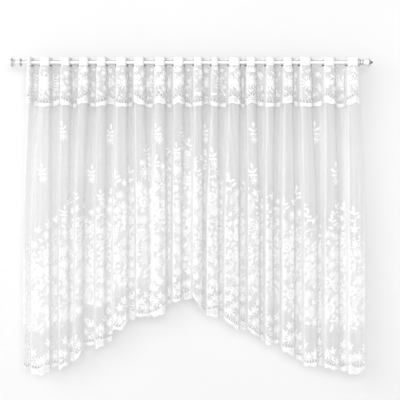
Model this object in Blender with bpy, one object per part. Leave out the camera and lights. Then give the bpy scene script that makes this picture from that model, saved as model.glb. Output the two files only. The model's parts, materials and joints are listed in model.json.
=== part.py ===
"""A sheer tulle curtain with an arched, scalloped hem and a short scalloped valance.

The stiff heading tape is threaded on a white rod through slots, so it passes in front of the rod
and behind it by turns. Each front stretch of the tape starts a fold that falls to the hem.

Metres, +Z up, +X to the right as seen from the room, +Y towards the wall. The origin is on the
rod's axis, half way between the finials.
"""

import math
from typing import NamedTuple

import bmesh
import bpy
import numpy as np
from mathutils import Vector


class Fold(NamedTuple):
    """One front stretch of the cloth, with the back stretch that follows on its right."""

    left: float
    right: float
    low_left: float
    low_right: float
    front: float
    back: float
    hem_left: float
    hem_right: float
    belly: float
    hem_back: float


# Columns: the front stretch's two ends along the rod and again at the hem, how far it stands in
# front of the rod's axis low down and how far the next stretch goes behind it, the hem's drop
# below the axis at the two ends, how far the middle hangs below them, and the drop behind.
FOLDS = (
    Fold(-0.8100, -0.7950, -0.8325, -0.8180, 0.016, 0.018, 1.526, 1.538, 0.000, 1.538),
    Fold(-0.7475, -0.7025, -0.7900, -0.7000, 0.034, 0.024, 1.541, 1.540, 0.018, 1.523),
    Fold(-0.6425, -0.6025, -0.6525, -0.6080, 0.036, 0.004, 1.528, 1.505, 0.004, 1.493),
    Fold(-0.5525, -0.5100, -0.5725, -0.5375, 0.030, 0.026, 1.486, 1.436, 0.008, 1.417),
    Fold(-0.4625, -0.4225, -0.4700, -0.4250, 0.035, 0.008, 1.424, 1.406, 0.006, 1.393),
    Fold(-0.3650, -0.3200, -0.3825, -0.3150, 0.027, 0.026, 1.322, 1.298, 0.027, 1.288),
    Fold(-0.2775, -0.2325, -0.2675, -0.2100, 0.038, -0.012, 1.266, 1.266, 0.000, 1.265),
    Fold(-0.1725, -0.1275, -0.1800, -0.1225, 0.032, 0.025, 1.266, 1.252, 0.002, 1.211),
    Fold(-0.0800, -0.0350, -0.0850, -0.0450, 0.026, 0.026, 1.190, 1.190, 0.006, 1.186),
    Fold(0.0225, 0.0575, 0.0150, 0.0600, 0.036, 0.016, 1.160, 1.240, 0.000, 1.252),
    Fold(0.1100, 0.1375, 0.0850, 0.1400, 0.030, 0.018, 1.258, 1.270, 0.004, 1.268),
    Fold(0.1975, 0.2450, 0.1725, 0.2425, 0.034, 0.030, 1.280, 1.336, 0.000, 1.338),
    Fold(0.2850, 0.3235, 0.2900, 0.3450, 0.032, 0.020, 1.332, 1.374, 0.000, 1.388),
    Fold(0.3825, 0.4175, 0.3775, 0.4125, 0.028, 0.030, 1.398, 1.410, 0.008, 1.406),
    Fold(0.4680, 0.5075, 0.4600, 0.5200, 0.034, 0.020, 1.434, 1.466, 0.000, 1.490),
    Fold(0.5515, 0.6000, 0.5700, 0.6325, 0.028, 0.024, 1.510, 1.513, 0.004, 1.518),
    Fold(0.6720, 0.7185, 0.6725, 0.7400, 0.034, 0.012, 1.520, 1.536, 0.000, 1.543),
    Fold(0.7875, 0.8375, 0.7900, 0.8725, 0.030, 0.000, 1.550, 1.528, 0.014, 1.528),
)

ROD_RADIUS = 0.010
ROD_HALF_LENGTH = 0.8425
ROD_SIDES = 24
SEAT_GAP = 0.0003

# Turned finial: distance from the rod's end, radius.
FINIAL_PROFILE = (
    (0.0000, 0.0190),
    (0.0015, 0.0205),
    (0.0050, 0.0205),
    (0.0065, 0.0190),
    (0.0085, 0.0130),
    (0.0150, 0.0135),
    (0.0180, 0.0155),
    (0.0210, 0.0135),
    (0.0260, 0.0140),
    (0.0360, 0.0185),
    (0.0470, 0.0228),
    (0.0500, 0.0224),
    (0.0590, 0.0115),
    (0.0680, 0.0045),
    (0.0715, 0.0020),
)

TAPE_TOP = 0.024
TAPE_BOTTOM = -0.018
TAPE_THICKNESS = 0.003
HEADING_REACH = 0.024
SLOT_CLEARANCE = 0.002
SLOT_BELOW_ROD = 0.0035

CLOTH_THICKNESS = 0.0013
CLOTH_TOP = TAPE_BOTTOM - SEAT_GAP
PANEL_OFFSET = 0.5 * (CLOTH_THICKNESS + SEAT_GAP)
VALANCE_OFFSET_LOW = 0.0042
VALANCE_FREE_AT = 0.030
VALANCE_JOIN_DROP = 0.203
VALANCE_SCALLOP_RISE = 0.020

# Places along the rod at which two of the valance's scallops meet. The next one on each side lies
# this far beyond them along the cloth.
VALANCE_MEETS = (
    -0.7970, -0.6485, -0.5220, -0.4100, -0.2725, -0.1520, -0.0565,
    0.0840, 0.2160, 0.3085, 0.4990, 0.6845, 0.8245,
)
VALANCE_BEYOND = 0.20

# The folds reach their hem places this far below the rod, and hang plumb from there.
SETTLED_DROP = 0.85
SIDE_RUN = 0.010
CROWN = 0.004
LEAN = 0.009

FRONT_STEPS = (0.0, 0.33, 0.67, 1.0)
SIDE_STEPS = (0.35, 0.65)
BACK_STEPS = (0.0, 0.5, 1.0)
PANEL_ROWS = (0.0, 0.05, 0.16, 0.28, 0.42, 0.56, 0.70, 0.84, 0.94, 1.0)
VALANCE_ROWS = (0.0, 0.2, 0.6, 1.0)
TAPE_ROWS = (0.0, 1.0)

WHITE_TAPE = ((0.93, 0.93, 0.92, 1.0), 0.85)
SHEER_NET = ((0.90, 0.90, 0.90, 1.0), 0.90)
WHITE_LACQUER = ((0.92, 0.92, 0.91, 1.0), 0.25)


class Station(NamedTuple):
    """A place across the cloth: its fold, its stretch of that fold, and how far along it."""

    fold: int
    stretch: str
    along: float


def remove_everything():
    """Clear the scene's objects."""
    for thing in list(bpy.data.objects):
        bpy.data.objects.remove(thing, do_unlink=True)


def finish(name, colour, roughness):
    """Return a plain surface finish."""
    material = bpy.data.materials.new(name)
    material.use_nodes = True
    shader = material.node_tree.nodes["Principled BSDF"]
    shader.inputs["Base Color"].default_value = colour
    shader.inputs["Roughness"].default_value = roughness
    shader.inputs["Metallic"].default_value = 0.0
    return material


def add_object(name, mesh, material):
    """Link a mesh to the scene as a named piece."""
    piece = bpy.data.objects.new(name, mesh)
    bpy.context.scene.collection.objects.link(piece)
    mesh.materials.append(material)
    return piece


def ease(value):
    """Return 0 to 1 with a soft start and end."""
    value = min(1.0, max(0.0, value))
    return value * value * (3.0 - 2.0 * value)


def mix(first, second, share):
    """Return the value that lies the given share of the way from first to second."""
    return first + (second - first) * share


def cloth_stations():
    """List the stations from the cloth's left edge to its right edge."""
    stations = []
    last = len(FOLDS) - 1
    for index in range(len(FOLDS)):
        stations += [Station(index, "front", along) for along in FRONT_STEPS]
        if index < last:
            stations += [Station(index, "going back", along) for along in SIDE_STEPS]
            stations += [Station(index, "back", along) for along in BACK_STEPS]
            stations += [Station(index, "coming forward", along) for along in SIDE_STEPS]
    return stations


def front_stretch(fold, settled):
    """Return a front stretch's left end, right end and reach before the axis."""
    left = mix(fold.left, fold.low_left, settled)
    right = mix(fold.right, fold.low_right, settled)
    return left, right, mix(HEADING_REACH, fold.front, settled)


def front_point(fold, along, settled):
    """Return a point of a front stretch in plan, a little crowned and leaning back to the right."""
    left, right, reach = front_stretch(fold, settled)
    crown = CROWN * (2.0 * along - 1.0) ** 2
    return Vector((mix(left, right, along), crown + LEAN * along * settled - reach))


def back_point(index, along, settled):
    """Return a point of the back stretch between a fold and the next one, in plan."""
    fold = FOLDS[index]
    start = front_stretch(fold, settled)[1] + SIDE_RUN
    end = front_stretch(FOLDS[index + 1], settled)[0] - SIDE_RUN
    reach = mix(HEADING_REACH, fold.back, settled)
    return Vector((mix(start, end, along), reach - CROWN * (2.0 * along - 1.0) ** 2))


def plan_point(station, drop):
    """Return where a station lies in plan at a drop below the rod's axis."""
    settled = ease((drop + CLOTH_TOP) / SETTLED_DROP)
    fold = FOLDS[station.fold]
    if station.stretch == "front":
        return front_point(fold, station.along, settled)
    if station.stretch == "back":
        return back_point(station.fold, station.along, settled)
    if station.stretch == "going back":
        start = front_point(fold, 1.0, settled)
        end = back_point(station.fold, 0.0, settled)
    else:
        start = back_point(station.fold, 1.0, settled)
        end = front_point(FOLDS[station.fold + 1], 0.0, settled)
    return Vector((mix(start.x, end.x, station.along), mix(start.y, end.y, ease(station.along))))


def hem_drop(station):
    """Return how far below the rod's axis the main panel's hem lies at a station."""
    fold = FOLDS[station.fold]
    if station.stretch == "front":
        bow = 1.0 - (2.0 * station.along - 1.0) ** 2
        return mix(fold.hem_left, fold.hem_right, station.along) + fold.belly * bow
    if station.stretch == "back":
        return fold.hem_back
    if station.stretch == "going back":
        return mix(fold.hem_right, fold.hem_back, station.along)
    return mix(fold.hem_back, FOLDS[station.fold + 1].hem_left, station.along)


def distances_across(stations, drop):
    """Return each station's distance from the left edge, measured along the cloth."""
    places = [plan_point(station, drop) for station in stations]
    distances = [0.0]
    for before, after in zip(places, places[1:]):
        distances.append(distances[-1] + (after - before).length)
    return distances


def valance_drops(stations):
    """Return how far below the rod's axis the valance's scalloped edge lies at each station."""
    distances = distances_across(stations, VALANCE_JOIN_DROP)
    along_rod = [plan_point(station, VALANCE_JOIN_DROP).x for station in stations]
    meets = list(np.interp(VALANCE_MEETS, along_rod, distances))
    ends = [meets[0] - VALANCE_BEYOND] + meets + [meets[-1] + VALANCE_BEYOND]
    turns = math.pi * np.interp(distances, ends, range(len(ends)))
    return [VALANCE_JOIN_DROP + VALANCE_SCALLOP_RISE * abs(math.sin(turn)) for turn in turns]


def offset_point(stations, place, drop, offset):
    """Return a station's point, moved off the plan line by an offset towards the room."""
    before = plan_point(stations[max(0, place - 1)], drop)
    after = plan_point(stations[min(len(stations) - 1, place + 1)], drop)
    along = (after - before).normalized()
    point = plan_point(stations[place], drop) + Vector((along.y, -along.x)) * offset
    return Vector((point.x, point.y, -drop))


def hung_sheet(name, top, drops, rows, offset_at, thickness, material):
    """Build a sheet that hangs from a top drop to a drop for each station.

    Args:
        name: the piece's name.
        top: drop of its upper edge below the rod's axis.
        drops: drop of its lower edge at each station.
        rows: shares of the way down at which it has a row of points.
        offset_at: function from a drop to the sheet's distance before the plan line.
        thickness: its thickness.
        material: its finish.

    Returns:
        The piece, a surface with a Solidify modifier.
    """
    stations = cloth_stations()
    mesh = bpy.data.meshes.new(name)
    shape = bmesh.new()
    grid = []
    for share in rows:
        row = []
        for place, low in enumerate(drops):
            drop = mix(top, low, share)
            row.append(shape.verts.new(offset_point(stations, place, drop, offset_at(drop))))
        grid.append(row)
    for upper, lower in zip(grid, grid[1:]):
        for place in range(len(drops) - 1):
            shape.faces.new((upper[place], lower[place], lower[place + 1], upper[place + 1]))
    shape.to_mesh(mesh)
    shape.free()
    mesh.shade_smooth()
    piece = add_object(name, mesh, material)
    wall = piece.modifiers.new("Cloth", "SOLIDIFY")
    wall.thickness = thickness
    wall.offset = 0.0
    return piece


def panel_offset(drop):
    """Return the main panel's place behind the plan line, the same all the way down."""
    return -PANEL_OFFSET


def valance_offset(drop):
    """Return the valance's place before the plan line, which grows as it falls free."""
    free = ease((drop + CLOTH_TOP) / VALANCE_FREE_AT)
    return mix(PANEL_OFFSET, VALANCE_OFFSET_LOW, free)


def tape_offset(drop):
    """Return the heading tape's place, on the plan line."""
    return 0.0


def slot_cutter():
    """Build the long bar that cuts every slot of the tape round the rod."""
    half_depth = ROD_RADIUS + SLOT_CLEARANCE
    low = -(ROD_RADIUS + SLOT_BELOW_ROD)
    high = ROD_RADIUS + SEAT_GAP
    mesh = bpy.data.meshes.new("slot_cutter")
    shape = bmesh.new()
    bmesh.ops.create_cube(shape, size=1.0)
    for vertex in shape.verts:
        vertex.co.x *= 2.0 * ROD_HALF_LENGTH + 0.2
        vertex.co.y *= 2.0 * half_depth
        vertex.co.z = high if vertex.co.z > 0.0 else low
    shape.to_mesh(mesh)
    shape.free()
    cutter = bpy.data.objects.new("slot_cutter", mesh)
    bpy.context.scene.collection.objects.link(cutter)
    cutter.hide_render = True
    cutter.display_type = "WIRE"
    return cutter


def heading_tape(material):
    """Build the stiff tape that weaves round the rod, with a slot at each crossing."""
    count = len(cloth_stations())
    tape = hung_sheet("heading_tape", -TAPE_TOP, [-TAPE_BOTTOM] * count, TAPE_ROWS,
                      tape_offset, TAPE_THICKNESS, material)
    slots = tape.modifiers.new("Slots", "BOOLEAN")
    slots.operation = "DIFFERENCE"
    slots.solver = "EXACT"
    slots.object = slot_cutter()
    return tape


def main_panel(material):
    """Build the long net panel with the arched hem."""
    drops = [hem_drop(station) for station in cloth_stations()]
    return hung_sheet("main_panel", -CLOTH_TOP, drops, PANEL_ROWS,
                      panel_offset, CLOTH_THICKNESS, material)


def valance(material):
    """Build the short net valance that hangs before the panel."""
    drops = valance_drops(cloth_stations())
    return hung_sheet("valance", -CLOTH_TOP, drops, VALANCE_ROWS,
                      valance_offset, CLOTH_THICKNESS, material)


def turned(name, profile, material):
    """Build a round piece on the X axis from rows of place along X and radius."""
    mesh = bpy.data.meshes.new(name)
    shape = bmesh.new()
    rings = []
    for place, radius in profile:
        ring = []
        for side in range(ROD_SIDES):
            turn = 2.0 * math.pi * side / ROD_SIDES
            ring.append(shape.verts.new((place, radius * math.cos(turn), radius * math.sin(turn))))
        rings.append(ring)
    for first, second in zip(rings, rings[1:]):
        bmesh.ops.bridge_loops(shape, edges=ring_edges(shape, first) + ring_edges(shape, second))
    shape.faces.new(rings[0])
    shape.faces.new(rings[-1])
    bmesh.ops.recalc_face_normals(shape, faces=shape.faces)
    shape.to_mesh(mesh)
    shape.free()
    mesh.shade_smooth()
    mesh.set_sharp_from_angle(angle=math.radians(40.0))
    return add_object(name, mesh, material)


def ring_edges(shape, ring):
    """Return the edges of a closed ring of points, made where they are missing."""
    edges = []
    for first, second in zip(ring, ring[1:] + ring[:1]):
        edges.append(shape.edges.get((first, second)) or shape.edges.new((first, second)))
    return edges


def finial(name, side, material):
    """Build the turned end piece on the right (side 1) or the left (side -1)."""
    start = ROD_HALF_LENGTH + SEAT_GAP
    profile = [(side * (start + place), radius) for place, radius in FINIAL_PROFILE]
    return turned(name, profile, material)


def build():
    """Build every piece of the curtain and its rod."""
    remove_everything()
    lacquer = finish("white_lacquer", *WHITE_LACQUER)
    turned("rod", ((-ROD_HALF_LENGTH, ROD_RADIUS), (ROD_HALF_LENGTH, ROD_RADIUS)), lacquer)
    finial("finial_left", -1.0, lacquer)
    finial("finial_right", 1.0, lacquer)
    heading_tape(finish("white_tape", *WHITE_TAPE))
    main_panel(finish("sheer_net", *SHEER_NET))
    valance(finish("valance_net", *SHEER_NET))


build()
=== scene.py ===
"""The looks of a tulle curtain with lace flowers, its valance, its heading tape and its rod.

The folded cloth is one surface, worked out from a table of folds. The lace flowers, the borders,
the dark cords that paint the shade of a row of eyelets, and the pearls are laid out on the flat
cloth and then carried on to the folds. Metres, +Z up, +X to the right as seen from the room, +Y towards the
wall.
"""

import json
import logging
import math
import random
from dataclasses import dataclass
from enum import Enum
from typing import Callable, NamedTuple, Sequence

import bmesh
import bpy
import numpy as np
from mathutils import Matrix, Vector

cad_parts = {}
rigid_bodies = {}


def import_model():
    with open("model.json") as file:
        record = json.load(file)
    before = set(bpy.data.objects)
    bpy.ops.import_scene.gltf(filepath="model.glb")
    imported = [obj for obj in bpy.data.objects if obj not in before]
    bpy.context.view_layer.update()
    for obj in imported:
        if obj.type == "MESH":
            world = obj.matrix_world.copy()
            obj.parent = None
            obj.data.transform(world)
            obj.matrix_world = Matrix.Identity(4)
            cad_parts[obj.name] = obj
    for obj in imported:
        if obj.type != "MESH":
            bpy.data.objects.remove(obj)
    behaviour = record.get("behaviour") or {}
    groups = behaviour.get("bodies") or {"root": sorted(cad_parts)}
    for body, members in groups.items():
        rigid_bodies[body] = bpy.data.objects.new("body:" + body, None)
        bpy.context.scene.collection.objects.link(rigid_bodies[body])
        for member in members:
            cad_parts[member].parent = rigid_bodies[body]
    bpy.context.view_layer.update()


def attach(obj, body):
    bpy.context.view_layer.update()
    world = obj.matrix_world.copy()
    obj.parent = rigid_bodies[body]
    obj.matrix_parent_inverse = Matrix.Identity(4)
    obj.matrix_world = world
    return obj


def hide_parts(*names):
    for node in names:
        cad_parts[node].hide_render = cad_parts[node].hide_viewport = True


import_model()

LOG = logging.getLogger("curtain")

# The photograph's frame, and the real size of one of its pixels at the cloth.
FRAME_PIXELS = 400
METRES_A_PIXEL = 0.005
AXIS_PIXEL = (190.0, 62.4)

Colour = tuple[float, float, float, float]
Array = np.ndarray
Socket = bpy.types.NodeSocket
Feeds = dict[str | int, object]


def from_photo(across: float, down: float) -> tuple[float, float]:
    """Return the place along the rod and the drop below it of a pixel of the photograph.

    Args:
        across: the pixel's column.
        down: the pixel's row.

    Returns:
        X in metres, and the drop in metres.
    """
    return (across - AXIS_PIXEL[0]) * METRES_A_PIXEL, (down - AXIS_PIXEL[1]) * METRES_A_PIXEL


def ease(value: Array | float) -> Array:
    """Return 0 to 1 with a soft start and end."""
    held = np.clip(value, 0.0, 1.0)
    return held * held * (3.0 - 2.0 * held)


def mix(first: Array | float, second: Array | float, share: Array | float) -> Array | float:
    """Return the value that lies the given share of the way from first to second."""
    return first + (second - first) * share


def halfway(values: Array) -> Array:
    """Return the values halfway between neighbours."""
    return 0.5 * (values[1:] + values[:-1])


class Fold(NamedTuple):
    """One front stretch of the cloth, with the back stretch that follows on its right."""

    left: float
    right: float
    low_left: float
    low_right: float
    front: float
    back: float
    hem_left: float
    hem_right: float
    belly: float
    hem_back: float


# Columns: the front stretch's two ends along the rod and again at the hem, how far it stands in
# front of the rod's axis low down and how far the next stretch goes behind it, the hem's drop
# below the axis at the two ends, how far the middle hangs below them, and the drop behind.
FOLDS = (
    Fold(-0.8100, -0.7950, -0.8325, -0.8180, 0.016, 0.018, 1.526, 1.538, 0.000, 1.538),
    Fold(-0.7475, -0.7025, -0.7900, -0.7000, 0.034, 0.024, 1.541, 1.540, 0.018, 1.523),
    Fold(-0.6425, -0.6025, -0.6525, -0.6080, 0.036, 0.004, 1.528, 1.505, 0.004, 1.493),
    Fold(-0.5525, -0.5100, -0.5725, -0.5375, 0.030, 0.026, 1.486, 1.436, 0.008, 1.417),
    Fold(-0.4625, -0.4225, -0.4700, -0.4250, 0.035, 0.008, 1.424, 1.406, 0.006, 1.393),
    Fold(-0.3650, -0.3200, -0.3825, -0.3150, 0.027, 0.026, 1.322, 1.298, 0.027, 1.288),
    Fold(-0.2775, -0.2325, -0.2675, -0.2100, 0.038, -0.012, 1.266, 1.266, 0.000, 1.265),
    Fold(-0.1725, -0.1275, -0.1800, -0.1225, 0.032, 0.025, 1.266, 1.252, 0.002, 1.211),
    Fold(-0.0800, -0.0350, -0.0850, -0.0450, 0.026, 0.026, 1.190, 1.190, 0.006, 1.186),
    Fold(0.0225, 0.0575, 0.0150, 0.0600, 0.036, 0.016, 1.160, 1.240, 0.000, 1.252),
    Fold(0.1100, 0.1375, 0.0850, 0.1400, 0.030, 0.018, 1.258, 1.270, 0.004, 1.268),
    Fold(0.1975, 0.2450, 0.1725, 0.2425, 0.034, 0.030, 1.280, 1.336, 0.000, 1.338),
    Fold(0.2850, 0.3235, 0.2900, 0.3450, 0.032, 0.020, 1.332, 1.374, 0.000, 1.388),
    Fold(0.3825, 0.4175, 0.3775, 0.4125, 0.028, 0.030, 1.398, 1.410, 0.008, 1.406),
    Fold(0.4680, 0.5075, 0.4600, 0.5200, 0.034, 0.020, 1.434, 1.466, 0.000, 1.490),
    Fold(0.5515, 0.6000, 0.5700, 0.6325, 0.028, 0.024, 1.510, 1.513, 0.004, 1.518),
    Fold(0.6720, 0.7185, 0.6725, 0.7400, 0.034, 0.012, 1.520, 1.536, 0.000, 1.543),
    Fold(0.7875, 0.8375, 0.7900, 0.8725, 0.030, 0.000, 1.550, 1.528, 0.014, 1.528),
)


@dataclass
class Drape:
    """The folded cloth as one surface, read by the place across the flat cloth and the drop."""

    flat_width: float = 2.75
    top_drop: float = 0.0183
    heading_top: float = -0.024
    lowest_drop: float = 1.60
    heading_reach: float = 0.024
    settled_drop: float = 0.85
    side_run: float = 0.010
    crown: float = 0.004
    lean: float = 0.009
    softness: float = 0.010
    heading_softness: float = 0.6
    hem_softness: float = 0.030
    ripple: float = 0.0014
    ripple_run: float = 0.25
    fold_points: int = 9
    hem_points: int = 5
    sections: int = 96
    columns: int = 2200

    def __post_init__(self) -> None:
        """Work out the sections of the folded cloth, from the heading down to the hem."""
        self.drops = np.linspace(self.heading_top, self.lowest_drop, self.sections)
        self.shares = np.linspace(0.0, 1.0, self.columns)
        lines = [self._section(drop) for drop in self.drops]
        self.across = np.array([line[0] for line in lines])
        self.depth = np.array([line[1] for line in lines])
        self.hem_shares, self.hem_line = self._hem()

    def _stretches(self, drop: float) -> list[tuple[float, float]]:
        """Return the fold line's corner points in plan, left to right, at a drop."""
        settled = float(ease((drop - self.top_drop) / self.settled_drop))
        points = []
        last = len(FOLDS) - 1
        for index, fold in enumerate(FOLDS):
            left = mix(fold.left, fold.low_left, settled)
            right = mix(fold.right, fold.low_right, settled)
            reach = mix(self.heading_reach, fold.front, settled)
            for along in np.linspace(0.0, 1.0, self.fold_points):
                crown = self.crown * (2.0 * along - 1.0) ** 2
                points.append((mix(left, right, along), crown + self.lean * along * settled - reach))
            if index == last:
                break
            after = FOLDS[index + 1]
            start = right + self.side_run
            end = mix(after.left, after.low_left, settled) - self.side_run
            back = mix(self.heading_reach, fold.back, settled)
            for along in np.linspace(0.0, 1.0, self.fold_points):
                crown = self.crown * (2.0 * along - 1.0) ** 2
                points.append((mix(start, end, along), back - crown))
        return points

    def _section(self, drop: float) -> tuple[Array, Array]:
        """Return X and Y of the fold line at a drop, evenly spaced along the cloth."""
        points = np.array(self._stretches(drop))
        settled = float(ease((drop - self.top_drop) / self.settled_drop))
        lengths = np.concatenate([[0.0], np.cumsum(np.hypot(*np.diff(points, axis=0).T))])
        even = np.linspace(0.0, lengths[-1], self.columns)
        x = np.interp(even, lengths, points[:, 0])
        y = np.interp(even, lengths, points[:, 1])
        window = self.softness * mix(self.heading_softness, 1.0, settled)
        x = self._soften(x, even, window)
        y = self._soften(y, even, window)
        free = float(ease((drop - self.top_drop) / self.ripple_run))
        y = y + self.ripple * free * self._ripples(even, drop)
        return x, y

    def _soften(self, values: Array, places: Array, window: float) -> Array:
        """Return the values rounded over a window, with both ends kept where they are."""
        step = places[1] - places[0]
        half = max(1, int(round(0.5 * window / step)))
        kernel = np.hanning(2 * half + 3)[1:-1]
        kernel /= kernel.sum()
        start = 2.0 * values[0] - values[half:0:-1]
        end = 2.0 * values[-1] - values[-2:-half - 2:-1]
        return np.convolve(np.concatenate([start, values, end]), kernel, mode="valid")

    @staticmethod
    def _ripples(places: Array, drop: float) -> Array:
        """Return the small uneven ripples that run down the cloth between its folds."""
        first = np.sin(places * 151.0 + 1.7 * math.sin(drop * 2.3) + 0.6)
        second = np.sin(places * 233.0 + 2.1 * math.sin(drop * 1.7 + 1.0))
        swell = 0.5 + 0.5 * np.sin(places * 17.0 + drop * 3.1)
        return first * swell + 0.6 * second * (1.0 - swell)

    def _hem(self) -> tuple[Array, Array]:
        """Return the hem's drop along the cloth, softened between the folds' own drops."""
        places, drops = [], []
        last = len(FOLDS) - 1
        for index, fold in enumerate(FOLDS):
            for along in np.linspace(0.0, 1.0, self.hem_points):
                bow = 1.0 - (2.0 * along - 1.0) ** 2
                places.append(mix(fold.low_left, fold.low_right, along))
                drops.append(mix(fold.hem_left, fold.hem_right, along) + fold.belly * bow)
            if index < last:
                after = FOLDS[index + 1]
                for place in (fold.low_right + self.side_run, after.low_left - self.side_run):
                    places.append(place)
                    drops.append(fold.hem_back)
        low = self.across[-1]
        line = np.interp(low, places, drops)
        return self.shares, self._soften(line, self.shares * self.flat_width, self.hem_softness)

    def place(self, across: Array, drop: Array, stand_off: Array | float = 0.0) -> Array:
        """Return points of the folded cloth.

        Args:
            across: distances from the flat cloth's left edge.
            drop: drops below the rod's axis.
            stand_off: how far before the cloth the points lie, towards the room.

        Returns:
            One row of X, Y and Z for each point.
        """
        step = 0.5 * self.flat_width / (self.columns - 1)
        x, y = self._read(across, drop)
        before = self._read(across - step, drop)
        after = self._read(across + step, drop)
        run, rise = after[0] - before[0], after[1] - before[1]
        length = np.maximum(np.hypot(run, rise), 1e-9)
        x = x + stand_off * rise / length
        y = y - stand_off * run / length
        return np.stack([x, y, -np.broadcast_to(drop, np.shape(x))], axis=-1)

    def _read(self, across: Array, drop: Array) -> tuple[Array, Array]:
        """Return X and Y at flat places, read between the sections."""
        column = np.clip(np.asarray(across) / self.flat_width, 0.0, 1.0) * (self.columns - 1)
        span = (self.lowest_drop - self.heading_top) / (self.sections - 1)
        row = np.clip((np.asarray(drop) - self.heading_top) / span, 0.0, self.sections - 1.001)
        j = np.minimum(column.astype(int), self.columns - 2)
        i = row.astype(int)
        u, v = column - j, row - i
        found = []
        for grid in (self.across, self.depth):
            upper = grid[i, j] * (1.0 - u) + grid[i, j + 1] * u
            lower = grid[i + 1, j] * (1.0 - u) + grid[i + 1, j + 1] * u
            found.append(upper * (1.0 - v) + lower * v)
        return found[0], found[1]

    def across_at(self, x: float, drop: float) -> float:
        """Return the flat place of the cloth that lies at X along the rod, at a drop."""
        row = int(np.argmin(np.abs(self.drops - drop)))
        return float(np.interp(x, self.across[row], self.shares)) * self.flat_width

    def hem_drop(self, across: Array) -> Array:
        """Return the main hem's drop at flat places, before its small scallops."""
        return np.interp(np.asarray(across) / self.flat_width, self.hem_shares, self.hem_line)

    def sheet_grid(self, across: Array, top: Array, low: Array, rows: Array,
                   stand_off: Callable[[Array], Array]) -> tuple[Array, Array]:
        """Return the points and the flat places of a grid on the folds.

        Args:
            across: flat places of its columns.
            top: the drop of its upper edge at each column.
            low: the drop of its lower edge at each column.
            rows: shares of the way down at which it has a row.
            stand_off: function from drops to the distance before the cloth.

        Returns:
            Points as rows, columns and X, Y, Z, and flat places as rows, columns and two numbers.
        """
        points, places = [], []
        for share in rows:
            drops = mix(top, low, share)
            points.append(self.place(across, drops, stand_off(drops)))
            places.append(np.stack([across, -drops], axis=-1))
        return np.array(points), np.array(places)


FLAT_MAP = "flat_cloth"
SIDE_LIGHT_AND_COVER = "side_light_and_cover"
BLOOM = "bloom"
SHADE = "shade"

# The stretch of a noise texture's range in which nearly all its values lie.
NOISE_RANGE = (0.3, 0.7)


def new_mesh(name: str, points: Sequence, edges: Sequence = (), faces: Sequence = ()) -> bpy.types.Mesh:
    """Return a mesh of points, edges and faces."""
    mesh = bpy.data.meshes.new(name)
    mesh.from_pydata(points, edges, faces)
    return mesh


def store(mesh: bpy.types.Mesh, name: str, values: Sequence, kind: str = "FLOAT") -> None:
    """Keep a number for each point of a mesh under a name."""
    mesh.attributes.new(name, kind, "POINT").data.foreach_set("value", values)


def grid_mesh(name: str, points: Array, places: Array, keep: Array | None = None) -> bpy.types.Mesh:
    """Return a mesh of a grid of points, with the flat places as its UV map.

    Args:
        name: the mesh's name.
        points: rows, columns and X, Y, Z.
        places: rows, columns and two flat numbers.
        keep: for each cell, whether it has a face. All have one if it is left out.

    Returns:
        The mesh, with its faces towards the room.
    """
    rows, columns = points.shape[:2]
    number = np.arange(rows * columns).reshape(rows, columns)
    corners = np.stack([number[:-1, :-1], number[1:, :-1], number[1:, 1:], number[:-1, 1:]], axis=-1)
    faces = corners.reshape(-1, 4)
    if keep is not None:
        faces = faces[keep.ravel()]
    used, faces = np.unique(faces, return_inverse=True)
    faces = faces.reshape(-1, 4)
    mesh = new_mesh(name, points.reshape(-1, 3)[used], faces=faces)
    layer = mesh.uv_layers.new(name=FLAT_MAP)
    layer.uv.foreach_set("vector", places.reshape(-1, 2)[used][faces.ravel()].astype(np.float32).ravel())
    mesh.shade_smooth()
    return mesh


def add_piece(name: str, mesh: bpy.types.Mesh, material: bpy.types.Material | None) -> bpy.types.Object:
    """Link a mesh to the scene as a named object.

    Args:
        name: the object's name.
        mesh: its mesh.
        material: its finish, or None for a helper.

    Returns:
        The object.
    """
    piece = bpy.data.objects.new(name, mesh)
    bpy.context.scene.collection.objects.link(piece)
    if material is not None:
        mesh.materials.clear()
        mesh.materials.append(material)
    return piece


def apply_modifiers(piece: bpy.types.Object) -> None:
    """Make a piece a plain mesh of what its modifiers show."""
    ready = piece.evaluated_get(bpy.context.evaluated_depsgraph_get())
    mesh = bpy.data.meshes.new_from_object(ready)
    piece.modifiers.clear()
    piece.data = mesh


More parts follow.
